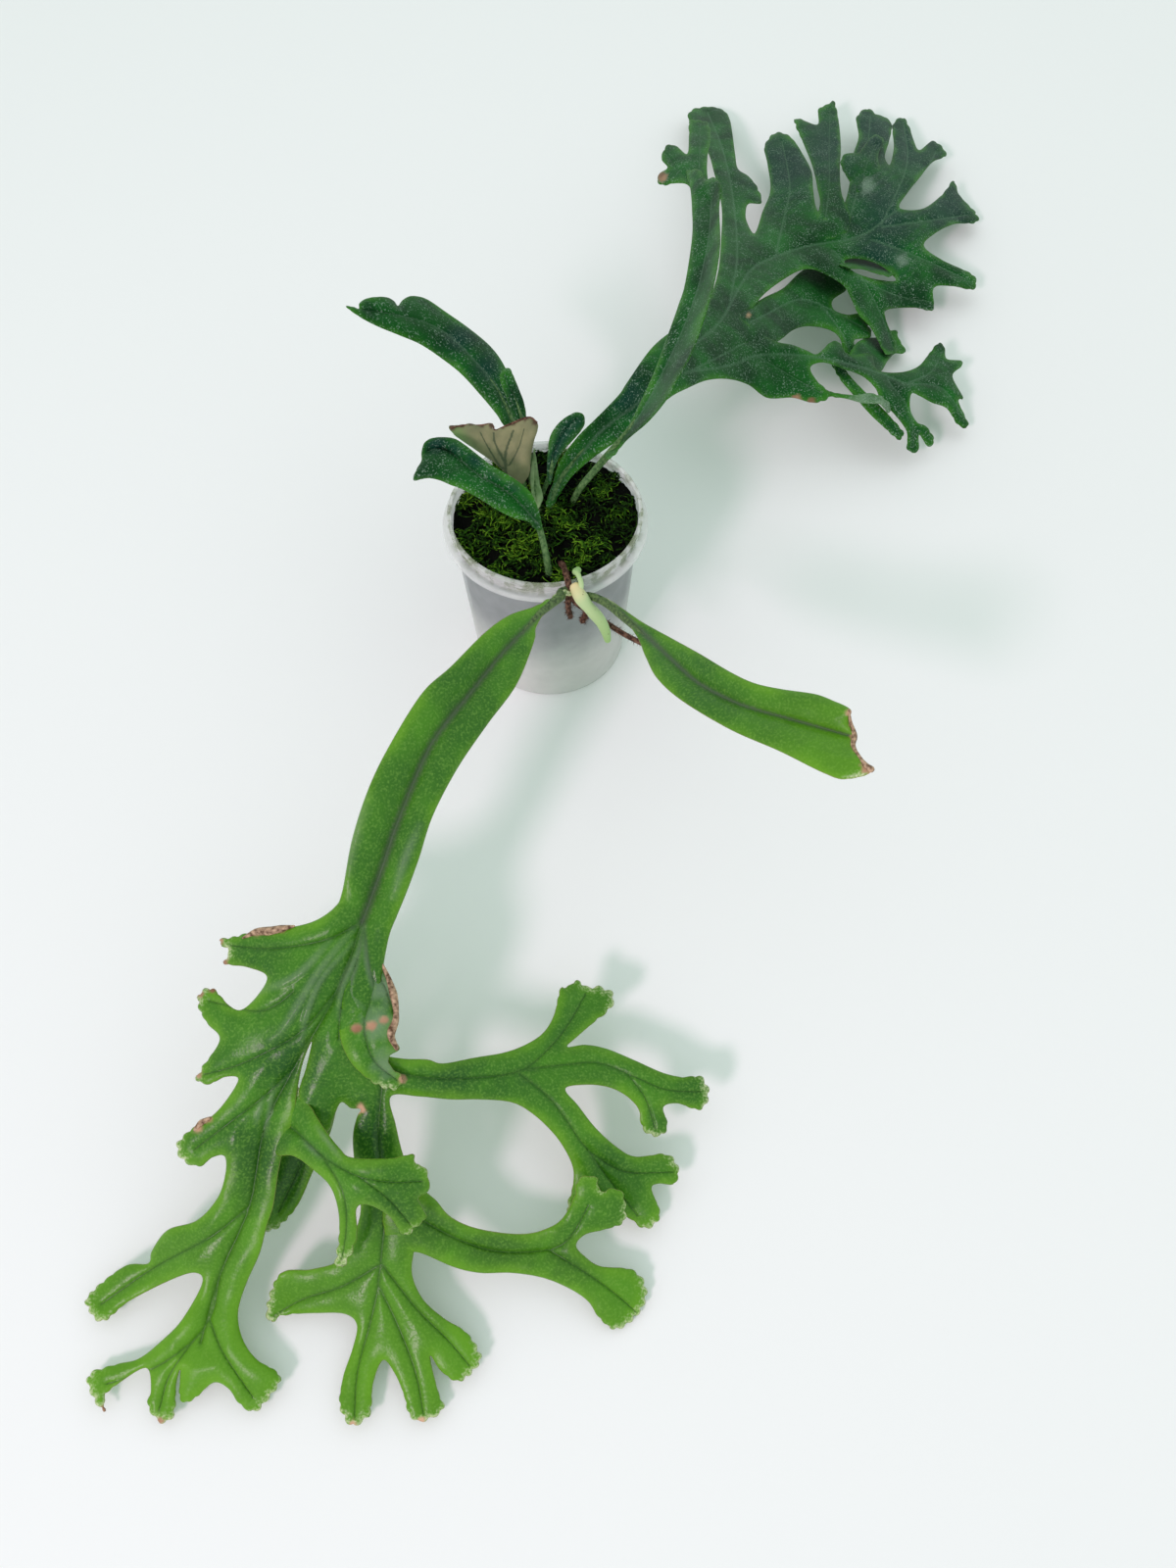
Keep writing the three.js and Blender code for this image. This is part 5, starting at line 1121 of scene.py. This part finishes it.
# Folded frond: a strap folded along its rib, with a small crest
foldedRib = [(629, 455), (655, 422), (677, 380), (698, 335), (714, 290), (724, 240), (726, 205)]
foldedStrap = {
    "outline": [
        (617, 466), (629, 451), (640, 437), (665, 385), (681, 343), (692, 312), (699, 289), (706, 243),
        (706, 213), (704, 190), (700, 176), (707, 173), (715, 174), (720, 183), (729, 181), (736, 192),
        (734, 213), (735, 250), (730, 285), (721, 318), (707, 359), (690, 390), (681, 407), (662, 430),
        (640, 449), (625, 466),
    ],
    "pins": [
        (620, 465, 108), (640, 445, 116), (680, 375, 133), (705, 300, 142), (715, 240, 142),
        (715, 180, 134),
    ],
    "folds": [{"line": foldedRib, "slope": -0.35, "reach": 18}],
    "stalk": {
        "free": [(12, 8.6, 78.5), (11.9, 8.4, 84)], "seen": [(592, 498, 94), (606, 481, 101)],
        "along": [(624, 460), (640, 441), (655, 420)], "radii": [1.4, 1.4, 1.5, 1.6, 1.2, 0.6],
    },
}
foldedCrest = {
    "outline": [
        (704, 124), (714, 123), (723, 127), (725, 142), (722, 160), (722, 180), (727, 205), (722, 232),
        (712, 232), (708, 208), (703, 190), (690, 187), (677, 189), (671, 185), (673, 177), (681, 171),
        (675, 162), (680, 149), (690, 149), (701, 157), (703, 140),
    ],
    "pins": [
        (714, 220, 138), (713, 190, 133), (713, 155, 126), (714, 126, 117), (675, 160, 122),
        (674, 185, 124),
    ],
    "from": foldedStrap, "root": [(712, 235), (722, 228)], "hold": 8, "leave": 30, "offset": -0.4,
    "style": {
        "ribs": [],
        "veins": [
            ([(716, 230), (713, 190), (714, 155), (714, 128)], (1.2, 0.6)),
            ([(712, 196), (690, 172), (678, 156)], (1.0, 0.5)),
        ],
    },
}
foldedStyle = {
    **rearStyle, "pitch": 1.9, "crown": 0.04, "ribs": [(foldedRib, (1.6, 1.0))], "veins": [],
    "dead": [(676, 181, 6)], "pale": [(676, 181, 14)],
}
leafPiece("frondRearFolded", [foldedStrap, foldedCrest], foldedStyle, matureFinishes, "frond_rear_folded")

# Upper left leaf
upperLeft = {
    "outline": [
        (353, 313), (360, 313), (366, 315), (367, 309), (376, 304), (393, 303), (402, 307), (406, 312),
        (411, 306), (420, 302), (435, 305), (456, 319), (480, 336), (501, 354), (515, 374), (524, 400),
        (528, 426), (526, 440), (517, 438), (506, 422), (491, 404), (472, 383), (455, 369), (430, 352),
        (407, 342), (385, 333), (368, 324),
    ],
    "pins": [
        (353, 313, 152), (400, 320, 139), (440, 330, 127), (456, 319, 124), (455, 369, 121),
        (480, 362, 117), (505, 395, 108), (525, 438, 99),
    ],
    "folds": [{
        "line": [(400, 321), (438, 331), (466, 350), (494, 380), (508, 397), (522, 430)], "slope": 0.12,
        "reach": 20,
    }],
    "style": {
        "ribs": [([(358, 315), (400, 321), (438, 331), (466, 350), (494, 380), (508, 397), (522, 430)],
                  (1.0, 2.5))],
    },
    "stalk": {
        "free": [(-10.2, 14.2, 78.5), (-10, 14, 84.5)], "seen": [(532, 470, 93)],
        "along": [(522, 431), (510, 404), (500, 388)], "radii": [1.5, 1.4, 1.3, 0.8],
    },
}
smallStyle = {
    **rearStyle, "pitch": 2.0, "dead": [], "ribs": [], "veins": [], "toothDepth": 0.5, "pale": [],
    # dark spots: painted shade on the leaf halves folded away from the lamp, partly the blades' own deeper
    # blue-green
    "dark": [
        (470, 345, 22), (497, 375, 22), (445, 452, 16), (466, 456, 14), (487, 468, 14), (507, 482, 13),
        (526, 494, 12), (575, 455, 60),
    ],
}
leafPiece("frondUpperLeft", [upperLeft], smallStyle, matureFinishes, "frond_upper_left")

# Short blade beside it
besideBlade = {
    "outline": [
        (510, 386), (514, 377), (520, 376), (525, 386), (530, 398), (535, 412), (537, 430), (530, 436),
        (524, 428), (518, 410),
    ],
    "pins": [(515, 380, 127), (512, 395, 125), (530, 400, 123), (532, 430, 114)],
    "folds": [{"line": [(515, 384), (525, 405), (533, 430)], "slope": 0.25, "reach": 8}],
    "style": {"ribs": [([(515, 384), (525, 405), (533, 430)], (1.0, 1.4))]},
    "stalk": {
        "free": [(-6.4, 17.4, 78.5), (-6.6, 17.2, 84)], "seen": [(540.5, 466, 99.5)],
        "along": [(533, 430), (526, 408), (521, 396)], "radii": [1.1, 1.1, 1.0, 0.6], "sides": 10,
    },
}
leafPiece("frondletBeside", [besideBlade], {**smallStyle, "pitch": 1.6}, matureFinishes, "frondlet_beside")

# Cut leaf that shows its dry underside
cutLeaf = {
    "outline": [
        (458, 436), (462, 434), (472, 434), (479, 432), (490, 434), (501, 432), (504, 439), (514, 435),
        (526, 430), (539, 425), (547, 430), (549, 437), (545, 450), (542, 466), (540, 484), (531, 494),
        (517, 484), (505, 473), (485, 459), (465, 445),
    ],
    "pins": [
        (531, 492, 97), (545, 430, 117), (500, 436, 113), (460, 436, 110), (500, 465, 106), (540, 465, 106),
    ],
    "style": {
        "veins": [
            ([(516, 483), (516, 462), (524, 440)], (2.2, 1.5)),
            ([(512, 478), (499, 458), (490, 441)], (1.5, 0.9)),
            ([(514, 470), (505, 452), (504, 442)], (1.8, 1.2)),
            ([(520, 474), (529, 458), (535, 438)], (1.4, 0.8)),
        ],
    },
    "stalk": {
        "free": [(-6.6, 8.6, 78.5), (-6.8, 8.4, 84)], "along": [(532, 488), (527, 472), (522, 462)],
        "radii": [1.1, 1.1, 1.0, 0.6], "sides": 10,
    },
}
dryStyle = {
    **smallStyle, "pitch": 1.8, "groove": -0.25, "tip": ((492, 452), (480, 462)),
    "dead": [
        (462, 436, 4), (472, 434, 3), (481, 433, 3), (492, 434, 3), (502, 434, 4), (513, 435, 3),
        (524, 431, 4), (536, 427, 4), (546, 431, 4),
    ],
}
cutRoll = rolledMargin(
    cutLeaf,
    [(459, 437), (472, 434), (490, 434), (502, 433), (505, 439), (515, 435), (539, 426), (548, 431)],
    [0.2, 0.4, 0.3, 0.5, 0.3, 0.4, 0.5, 0.3], barkBrown,
)
leafPiece("frondCutBrown", [cutLeaf], dryStyle, (dryTan, stalkSkin, "dry_blade"), "frond_cut_brown",
          [cutRoll])

# Small left leaf
leftSmall = {
    "outline": [
        (430, 462), (433, 452), (441, 447), (454, 446), (465, 448), (476, 455), (490, 466), (502, 475),
        (516, 483), (530, 492), (541, 502), (546, 511), (551, 525), (553, 540), (546, 540), (540, 533),
        (526, 529), (514, 524), (502, 517), (486, 507), (471, 499), (460, 495), (448, 490), (436, 488),
        (422, 490), (425, 479), (430, 470),
    ],
    "pins": [(425, 485, 108), (440, 455, 111), (480, 478, 114), (520, 507, 109), (550, 535, 101)],
    "folds": [{
        "line": [(460, 464), (476, 475), (490, 486), (508, 496), (526, 509), (540, 522), (549, 535)],
        "slope": -0.2, "reach": 16,
    }],
    "style": {
        "ribs": [([
            (437, 461), (448, 458), (460, 462), (476, 475), (490, 486), (508, 496), (526, 509), (549, 535),
        ], (1.2, 2.6))],
        "pleats": [([(431, 466), (438, 459), (448, 457), (460, 461), (472, 470)], 2.4, -1.4)],
    },
    "stalk": {
        "free": [(2.2, -31.6, 78.5), (2, -31.4, 84)], "seen": [(557, 566, 91.5), (553, 548, 96)],
        "along": [(547, 530), (538, 518), (526, 508)], "radii": [1.5, 1.5, 1.4, 1.4, 1.3, 0.7],
    },
}
leafPiece("frondLeftSmall", [leftSmall], smallStyle, matureFinishes, "frond_left_small")

# Small round leaf
roundLeaf = {
    "outline": [
        (559, 492), (558, 476), (559, 461), (561, 446), (568, 434), (577, 426), (587, 421), (594, 422),
        (597, 429), (594, 438), (585, 449), (575, 460), (568, 472), (564, 484), (562, 494),
    ],
    "pins": [(560, 490, 98), (565, 455, 110), (590, 425, 119)],
    "style": {"ribs": [([(561, 490), (564, 465), (574, 442), (588, 427)], (1.3, 0.5))]},
    "stalk": {
        "free": [(-2.2, 9.8, 78.5), (-2.4, 9.8, 84)], "along": [(561, 484), (565, 466), (568, 456)],
        "radii": [1.1, 1.1, 1.0, 0.6], "sides": 10,
    },
}
leafPiece("frondletRound", [roundLeaf], {**smallStyle, "pitch": 1.8}, matureFinishes, "frondlet_round")

# Narrow young leaf
youngLeaf = {
    "outline": [
        (545, 457), (547, 466), (549, 480), (551, 494), (554, 508), (549, 519), (544, 512), (542, 500),
        (541, 486), (543, 470),
    ],
    "pins": [(545, 458, 101), (542, 490, 95), (553, 497, 94), (549, 518, 90.5)],
    "style": {"ribs": [([(547, 514), (546, 490), (545, 464)], (1.0, 0.5))]},
    "stalk": {
        "free": [(-2.4, 3.4, 78.5), (-2.5, 3.2, 84)], "along": [(548, 506), (546, 484), (546, 474)],
        "radii": [1.1, 1.1, 1.0, 0.6], "sides": 10,
    },
}
leafPiece("frondletYoung", [youngLeaf], {**smallStyle, "pitch": 1.6}, (youngGreen, stalkSkin, "young_blade"),
          "frondlet_young")
print("dark fronds made")

# The pot: one closed profile with rounded corners, turned round the axis
pot = {
    "height": 88.0, "lipRadius": 42.6, "lipHeight": 1.2, "lipBevel": 0.4, "collarRadius": 41.8,
    "beadHeights": (84.3, 84.7), "beadDepth": 0.4, "beadBevel": 0.3,
    "ledgeRadius": 45.0, "ledgeTop": 82.0, "ledgeHeight": 1.8, "ledgeBevel": 0.6, "ledgeCrown": (0.9, 0.4),
    "shoulderRadius": 40.6, "shoulderHeight": 78.5, "baseRadius": 35.7, "footBevel": 0.8,
    "wall": 1.1, "floorTop": 1.6, "insideLedge": 1.0, "insideShoulder": 0.6,
    "drainHoleRadius": 3.5, "drainHoleCircle": 21.0, "drainHoleCount": 5,
    "cornerRound": 0.45, "segments": 144,
}


def innerRadius(height):
    slope = (pot["shoulderRadius"] - pot["baseRadius"]) / pot["shoulderHeight"]
    return pot["baseRadius"] + slope * height - pot["wall"]


def roundedProfile(points, radius):
    # every inner corner becomes a short quadratic curve that starts and ends one radius from it
    points = np.array(points, float)
    pieces = [points[:1]]
    t = np.linspace(0, 1, 4)[:, None]
    for before, corner, after in zip(points, points[1:], points[2:]):
        start, end = before - corner, after - corner
        start = corner + start * min(radius / np.linalg.norm(start), 0.45)
        end = corner + end * min(radius / np.linalg.norm(end), 0.45)
        pieces.append((1 - t) ** 2 * start + 2 * t * (1 - t) * corner + t**2 * end)
    return np.vstack([*pieces, points[-1:]])


def turnedShell(profile, segments):
    # radius and height of the profile, turned round the axis, with one pole at each end
    turn = np.linspace(0, 2 * np.pi, segments, endpoint=False)
    radius, height = profile[1:-1].T[..., None]
    ring = np.stack([radius * np.cos(turn), radius * np.sin(turn), height + 0 * turn], axis=2)
    poles = [[0, 0, profile[0, 1]], [0, 0, profile[-1, 1]]]
    return np.vstack([ring.reshape(-1, 3), poles]), ringFaces(len(ring), segments), {}


def potOutline():
    # out over the foot, up the wall, round ledge, bead and lip, and down the inside to the floor
    base, shoulder, ledge, collar, lip = (pot[part + "Radius"] for part in
                                          ("base", "shoulder", "ledge", "collar", "lip"))
    top, ledgeTop, shoulderTop, floorTop = (pot[part] for part in
                                            ("height", "ledgeTop", "shoulderHeight", "floorTop"))
    ledgeFoot, lipFoot = ledgeTop - pot["ledgeHeight"], top - pot["lipHeight"]
    (beadFoot, beadTop), bead, bevel = pot["beadHeights"], collar + pot["beadDepth"], pot["beadBevel"]
    inside, (crownWidth, crownRise) = collar - pot["wall"], pot["ledgeCrown"]
    return [
        (0, 0), (base - pot["footBevel"], 0), (base, pot["footBevel"]), (shoulder, shoulderTop),
        (ledge - pot["ledgeBevel"], ledgeFoot - pot["ledgeBevel"]), (ledge, ledgeFoot), (ledge, ledgeTop),
        (ledge - crownWidth, ledgeTop + crownRise), (collar, ledgeTop + crownWidth),
        (collar, beadFoot - bevel), (bead, beadFoot), (bead, beadTop), (collar, beadTop + bevel),
        (collar, lipFoot - pot["lipBevel"]), (lip, lipFoot), (lip, top), (inside, top),
        (inside, ledgeTop - pot["insideLedge"]),
        (innerRadius(shoulderTop), shoulderTop - pot["insideShoulder"]),
        (innerRadius(floorTop), floorTop), (0, floorTop),
    ]


potShell = turnedShell(roundedProfile(potOutline(), pot["cornerRound"]), pot["segments"])
potHeights, potMarks = potShell[0][:, 2], potShell[2]
potMarks["rim"] = smoothStep(pot["shoulderHeight"] - 1, pot["ledgeTop"] - 1.5, potHeights)
potMarks["collar"] = smoothStep(pot["ledgeTop"] + 0.2, pot["ledgeTop"] + 1.2, potHeights)
potPiece = meshPiece("nurseryPot", [(potShell, frostedPlastic)], ["pot"])


def drainHoles(piece):
    # plain round holes through the floor of the pot
    bpy.ops.object.select_all(action="DESELECT")
    cutters = []
    for k in range(pot["drainHoleCount"]):
        turn = 2 * math.pi * k / pot["drainHoleCount"]
        place = (pot["drainHoleCircle"] * math.cos(turn), pot["drainHoleCircle"] * math.sin(turn),
                 pot["floorTop"] / 2)
        bpy.ops.mesh.primitive_cylinder_add(vertices=32, radius=pot["drainHoleRadius"] * metres,
                                            depth=4 * pot["floorTop"] * metres,
                                            location=[each * metres for each in place])
        cutters.append(bpy.context.object)
    for cutter in cutters:
        cut = piece.modifiers.new("drainHole", "BOOLEAN")
        cut.operation, cut.object, cut.solver = "DIFFERENCE", cutter, "EXACT"
        bpy.context.view_layer.objects.active = piece
        bpy.ops.object.modifier_apply(modifier=cut.name)
        bpy.data.objects.remove(cutter)


drainHoles(potPiece)
for node, finish in (("substrate", dampMix), ("drainage_layer", paleGranules)):
    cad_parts[node].data.materials.clear()
    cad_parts[node].data.materials.append(finish)
print("pot made")

# Moss: a rough cushion under several thousand curved feathery shoots
moss = {
    "edgeHeight": 82.2, "mound": 3.2, "tufts": 0.9, "rearGrowth": 2.4, "lowest": 81.6,
    "radius": 40.4, "bottom": 70.3, "skirtTop": 77.5, "wallGap": 0.3,
    "rings": 70, "spokes": 240, "sunk": 1.3, "roughness": 0.54,
    "sprigs": 3400, "stations": 7, "length": (3.0, 8.5), "width": 0.62, "clump": 4.4,
    "bare": -0.25,  # no shoots where the clumps' waves are lower than this
}


def mossTop(x, y):
    # a mound with two crossed waves of tufts, never under the lowest height, and higher at the rear
    mound = moss["mound"] * (1 - (np.hypot(x, y) / pot["shoulderRadius"]) ** 2)
    tufts = np.sin(0.31 * x + 1.3) * np.cos(0.27 * y - 0.4) + 0.6 * np.sin(0.33 * x + 0.52 * y)
    rear = moss["rearGrowth"] * smoothStep(0, 38, y + 0.4 * x)
    return np.maximum(moss["edgeHeight"] + mound + moss["tufts"] * tufts, moss["lowest"]) + rear


def mossCushion():
    # rings of points over the tufted mound, lowered by small crossed waves, closed underneath
    turn = np.linspace(0, 2 * np.pi, moss["spokes"], endpoint=False)
    radius = moss["radius"] * np.arange(1, moss["rings"] + 1) / moss["rings"]
    x, y = radius[:, None] * np.cos(turn), radius[:, None] * np.sin(turn)
    rough = np.sin(2.1 * x + 1.7 * np.sin(1.3 * y)) * np.cos(1.9 * y + 1.4 * np.sin(1.1 * x))
    top = np.stack([x, y, mossTop(x, y) - moss["sunk"] + moss["roughness"] * rough], axis=2).reshape(-1, 3)
    skirt = [np.stack([reach * np.cos(turn), reach * np.sin(turn), turn * 0 + height], axis=1)
             for reach, height in ((moss["radius"], moss["lowest"] - 0.6),
                                   (innerRadius(pot["shoulderHeight"]) - moss["wallGap"], moss["skirtTop"]),
                                   (innerRadius(moss["bottom"]) - moss["wallGap"], moss["bottom"]))]
    vertices = np.vstack([top, *skirt, [0, 0, mossTop(0.0, 0.0) - 0.6], [0, 0, moss["bottom"]]])
    faces = ringFaces(moss["rings"] + len(skirt), moss["spokes"])[:, ::-1]
    # a low sunlight value paints the cushion near-black: painted shade in the gaps under the shoots
    return vertices, faces, {"bright": np.full(len(vertices), 0.05)}


def mossSprigs():
    # every shoot is a three-sided blade whose centre rises, leans and droops along its length and
    # whose width steps in and out like a feather's
    radius = (moss["radius"] - 0.8) * np.sqrt(randomDraws.random(moss["sprigs"]))
    turn = 2 * np.pi * randomDraws.random(moss["sprigs"])
    x, y = radius * np.cos(turn), radius * np.sin(turn)
    # neighbours lean the same way, so that they form clumps with dark gaps between them
    clump = ripples(x, y, moss["clump"])
    grown = clump > moss["bare"] + 0.5 * smoothStep(8, 20, y) * smoothStep(38, 26, np.hypot(x, y))
    x, y, clump = x[grown], y[grown], clump[grown]
    count, stations = len(x), moss["stations"]
    base = np.stack([x, y, mossTop(x, y) - 0.9], axis=1)
    lean = 2.6 * np.pi * ripples(y, x, moss["clump"] * 1.7) + randomDraws.normal(0, 0.7, count)
    length = between(moss["length"], randomDraws.random(count) ** 1.6)[:, None]
    rise = (0.25 + 0.35 * randomDraws.random(count))[:, None]
    curl = randomDraws.normal(0, 1.5, count)
    t = np.linspace(0, 1, stations)
    angle = lean[:, None] + curl[:, None] * t
    out = length * t * 0.85
    level = length * rise * (1.6 * t - 1.5 * t**2) + (0.8 + 1.2 * clump[:, None]) * t
    path = base[:, None] + np.stack([out * np.cos(angle), out * np.sin(angle), level], axis=2)
    reach = np.hypot(path[..., 0], path[..., 1])
    path[..., :2] *= np.minimum(1, (moss["radius"] - 0.4) / np.maximum(reach, 1e-6))[..., None]
    side = np.stack([-np.sin(angle), np.cos(angle), 0 * angle], axis=2)
    feather = 1 + 0.55 * np.where(np.arange(stations) % 2 == 0, -1, 1)
    width = moss["width"] * feather * (1 - 0.75 * t**2) * (0.7 + 0.6 * randomDraws.random(count))[:, None]
    width = width[..., None]
    ring = np.stack([path + side * width, path - side * width, path + [0, 0, 0.45] * width], axis=2)
    start = np.arange(count)[:, None, None] * stations * 3
    last = (stations - 1) * 3
    shoot = np.vstack([ringFaces(stations, 3, closed=False), (0, 2, 1), (last, last + 1, last + 2)])
    # painted light: shoots lighter on the side towards the lamp and on the tops of the clumps
    sunlit = (0.13 * smoothStep(-30, 18, -x - 0.7 * y) + 0.34 * smoothStep(-0.3, 0.8, clump)
              + 0.2 * randomDraws.random(count) - 0.11)
    marks = {"along": np.tile(np.repeat(t, 3), count), "bright": np.repeat(sunlit, stations * 3)}
    return ring.reshape(-1, 3), (start + shoot).reshape(-1, 3), marks


meshPiece("mossCushion", [(mossCushion(), mossGreen)], ["moss_mat"])
meshPiece("mossSprigs", [(mossSprigs(), mossGreen)])
print("moss made")

# Creeping stem with scales, its roots with fine hairs, and the pale growing tip
rhizomePath = [
    (6.6, -24, 80.5), (7.6, -29, 86), (8.6, -34, 89.4), (9.8, -40, 91.2), (10.6, -44.4, 90.9),
    (11, -46.9, 89),
]
rootPaths = [
    [(10.9, -46.6, 89), (10.4, -48.2, 85.6), (10.4, -48.8, 81), (11.2, -48.4, 75)],
    [
        (11, -46.6, 88.6), (13.4, -48, 84), (19, -48.6, 78.5), (26, -49.4, 72.5), (34, -51, 66.5),
        (43, -52, 60.5),
    ],
    [(18.4, -48.5, 79), (17.2, -49.4, 76.6), (16.2, -50, 74)],
]
rhizome = {
    "radii": [0.8, 1.0, 1.2, 1.0, 1.4, 1.3], "rootRadii": (1.3, 1.15),
    "scales": {"radius": 1.05, "count": 300, "length": (0.8, 1.7), "thick": 0.36, "lift": 0.35},
    "hairs": {"radius": 1.0, "count": 260, "length": (0.8, 2.2), "thick": 0.1, "lift": 0.8},
}


def spikes(bases, directions, lengths, thick):
    # slim three-sided cones: three points round each base and one at the tip
    directions = unit(directions)
    side = unit(np.cross(directions, [0.31, 0.52, 0.79]))
    turns = np.array([0, 2 * np.pi / 3, 4 * np.pi / 3])[None, :, None]
    ring = bases[:, None] + thick * (np.cos(turns) * side[:, None]
                                     + np.sin(turns) * np.cross(directions, side)[:, None])
    tips = bases + directions * lengths[:, None]
    vertices = np.concatenate([ring, tips[:, None]], axis=1).reshape(-1, 3)
    pattern = np.array([(0, 2, 1), (0, 1, 3), (1, 2, 3), (2, 0, 3)])
    faces = (np.arange(len(bases))[:, None, None] * 4 + pattern).reshape(-1, 3)
    return vertices, faces, {"along": np.tile([0, 0, 0, 1.0], len(bases))}


def scattered(path, radius, count, length, thick, lift):
    # small spikes on a tube's skin, leaning forward along it
    centre = roundedPath(path, 60)
    pick = randomDraws.integers(1, 59, count)
    spin = 2 * np.pi * randomDraws.random(count)[:, None]
    ahead = np.gradient(centre, axis=0)[pick]
    forward = unit(ahead)
    side = unit(np.cross(forward, [0.2, 0.3, 0.9]))
    outward = np.cos(spin) * side + np.sin(spin) * np.cross(forward, side)
    shift = (randomDraws.random(count)[:, None] - 0.5) * ahead
    base = centre[pick] + shift + outward * radius * 0.85
    lengths = between(length, randomDraws.random(count))
    return spikes(base, outward * lift + forward * (1 - lift), lengths, thick)


rhizomeShells = [tubeShell(rhizomePath, rhizome["radii"], 14, 40),
                 scattered(rhizomePath, **rhizome["scales"])]
for path in rootPaths:
    rhizomeShells.append(tubeShell(path, rhizome["rootRadii"], 10, 40))
    rhizomeShells.append(scattered(path, **rhizome["hairs"]))
meshPiece("rhizomeWithRoots", [(shell, barkBrown) for shell in rhizomeShells], ["rhizome"])

tipPath = [
    (13.6, -47.6, 92.4), (14.9, -50.2, 91.6), (17.4, -52, 88.2), (20.4, -52.9, 84), (23.6, -53.6, 79),
    (25.8, -54.6, 73.8), (26.9, -55.4, 68.4),
]
budPath = [
    (15.2, -50, 91.8), (15.8, -47.2, 94.6), (14.4, -42.8, 95.6), (13.4, -40.6, 94.4), (14.4, -38.9, 93.4),
]
tipShell = tubeShell(tipPath, [2.5, 3.0, 2.5, 2.7, 2.4, 2.1, 1.5], 18, 48)
budShell = tubeShell(budPath, [1.2, 1.1, 1.0, 1.3, 1.5], 14, 30)
meshPiece("rhizomeTip", [(tipShell, paleSkin), (budShell, paleSkin)], ["rhizome_tip"])
print("stem and roots made")

# Camera, floor and light
stage = {
    "floorSize": 6.0, "lampPlace": (-0.48, -0.908, 0.77), "lampSize": 0.2, "lampWatts": 4.35,
    "lampColour": (1.0, 0.69, 0.89), "skyColour": (0.765, 0.862, 0.828), "skyStrength": 1.0,
}
camera = bpy.data.cameras.new("camera")
camera.sensor_width = view["sensor"]
camera.lens = view["focus"] / view["pictureHeight"] * view["sensor"]
cameraObject = placeObject("camera", camera)
cameraObject.location = Vector(viewPlace * metres)
cameraObject.rotation_euler = (math.radians(90 - view["pitch"]), 0, 0)
bpy.context.scene.camera = cameraObject

half = stage["floorSize"] / 2
floorMesh = bpy.data.meshes.new("floor")
floorCorners = [(-half, -half, 0), (half, -half, 0), (half, half, 0), (-half, half, 0)]
floorMesh.from_pydata(floorCorners, [], [(0, 1, 2, 3)])
floorMesh.materials.append(plainFloor())
placeObject("floor", floorMesh)

lamp = bpy.data.lights.new("softLamp", "AREA")
lamp.shape, lamp.size = "DISK", stage["lampSize"]
lamp.energy, lamp.color = stage["lampWatts"], stage["lampColour"]
lamp.use_nodes = True
# the lamp's light doesn't weaken with distance, as from a far, larger window
falloff = addNode(lamp.node_tree, "LightFalloff", {"Strength": 1.0}, "Constant")
lamp.node_tree.links.new(falloff, lamp.node_tree.nodes["Emission"].inputs["Strength"])
lampObject = placeObject("softLamp", lamp)
lampObject.location = stage["lampPlace"]
lampObject.rotation_euler = (-Vector(stage["lampPlace"])).to_track_quat("-Z", "Y").to_euler()

world = bpy.data.worlds.new("paleSky")
world.use_nodes = True
background = world.node_tree.nodes["Background"].inputs
background["Color"].default_value = (*stage["skyColour"], 1)
background["Strength"].default_value = stage["skyStrength"]
bpy.context.scene.world = world
bpy.context.scene.view_settings.view_transform = "Standard"
print("stage set")
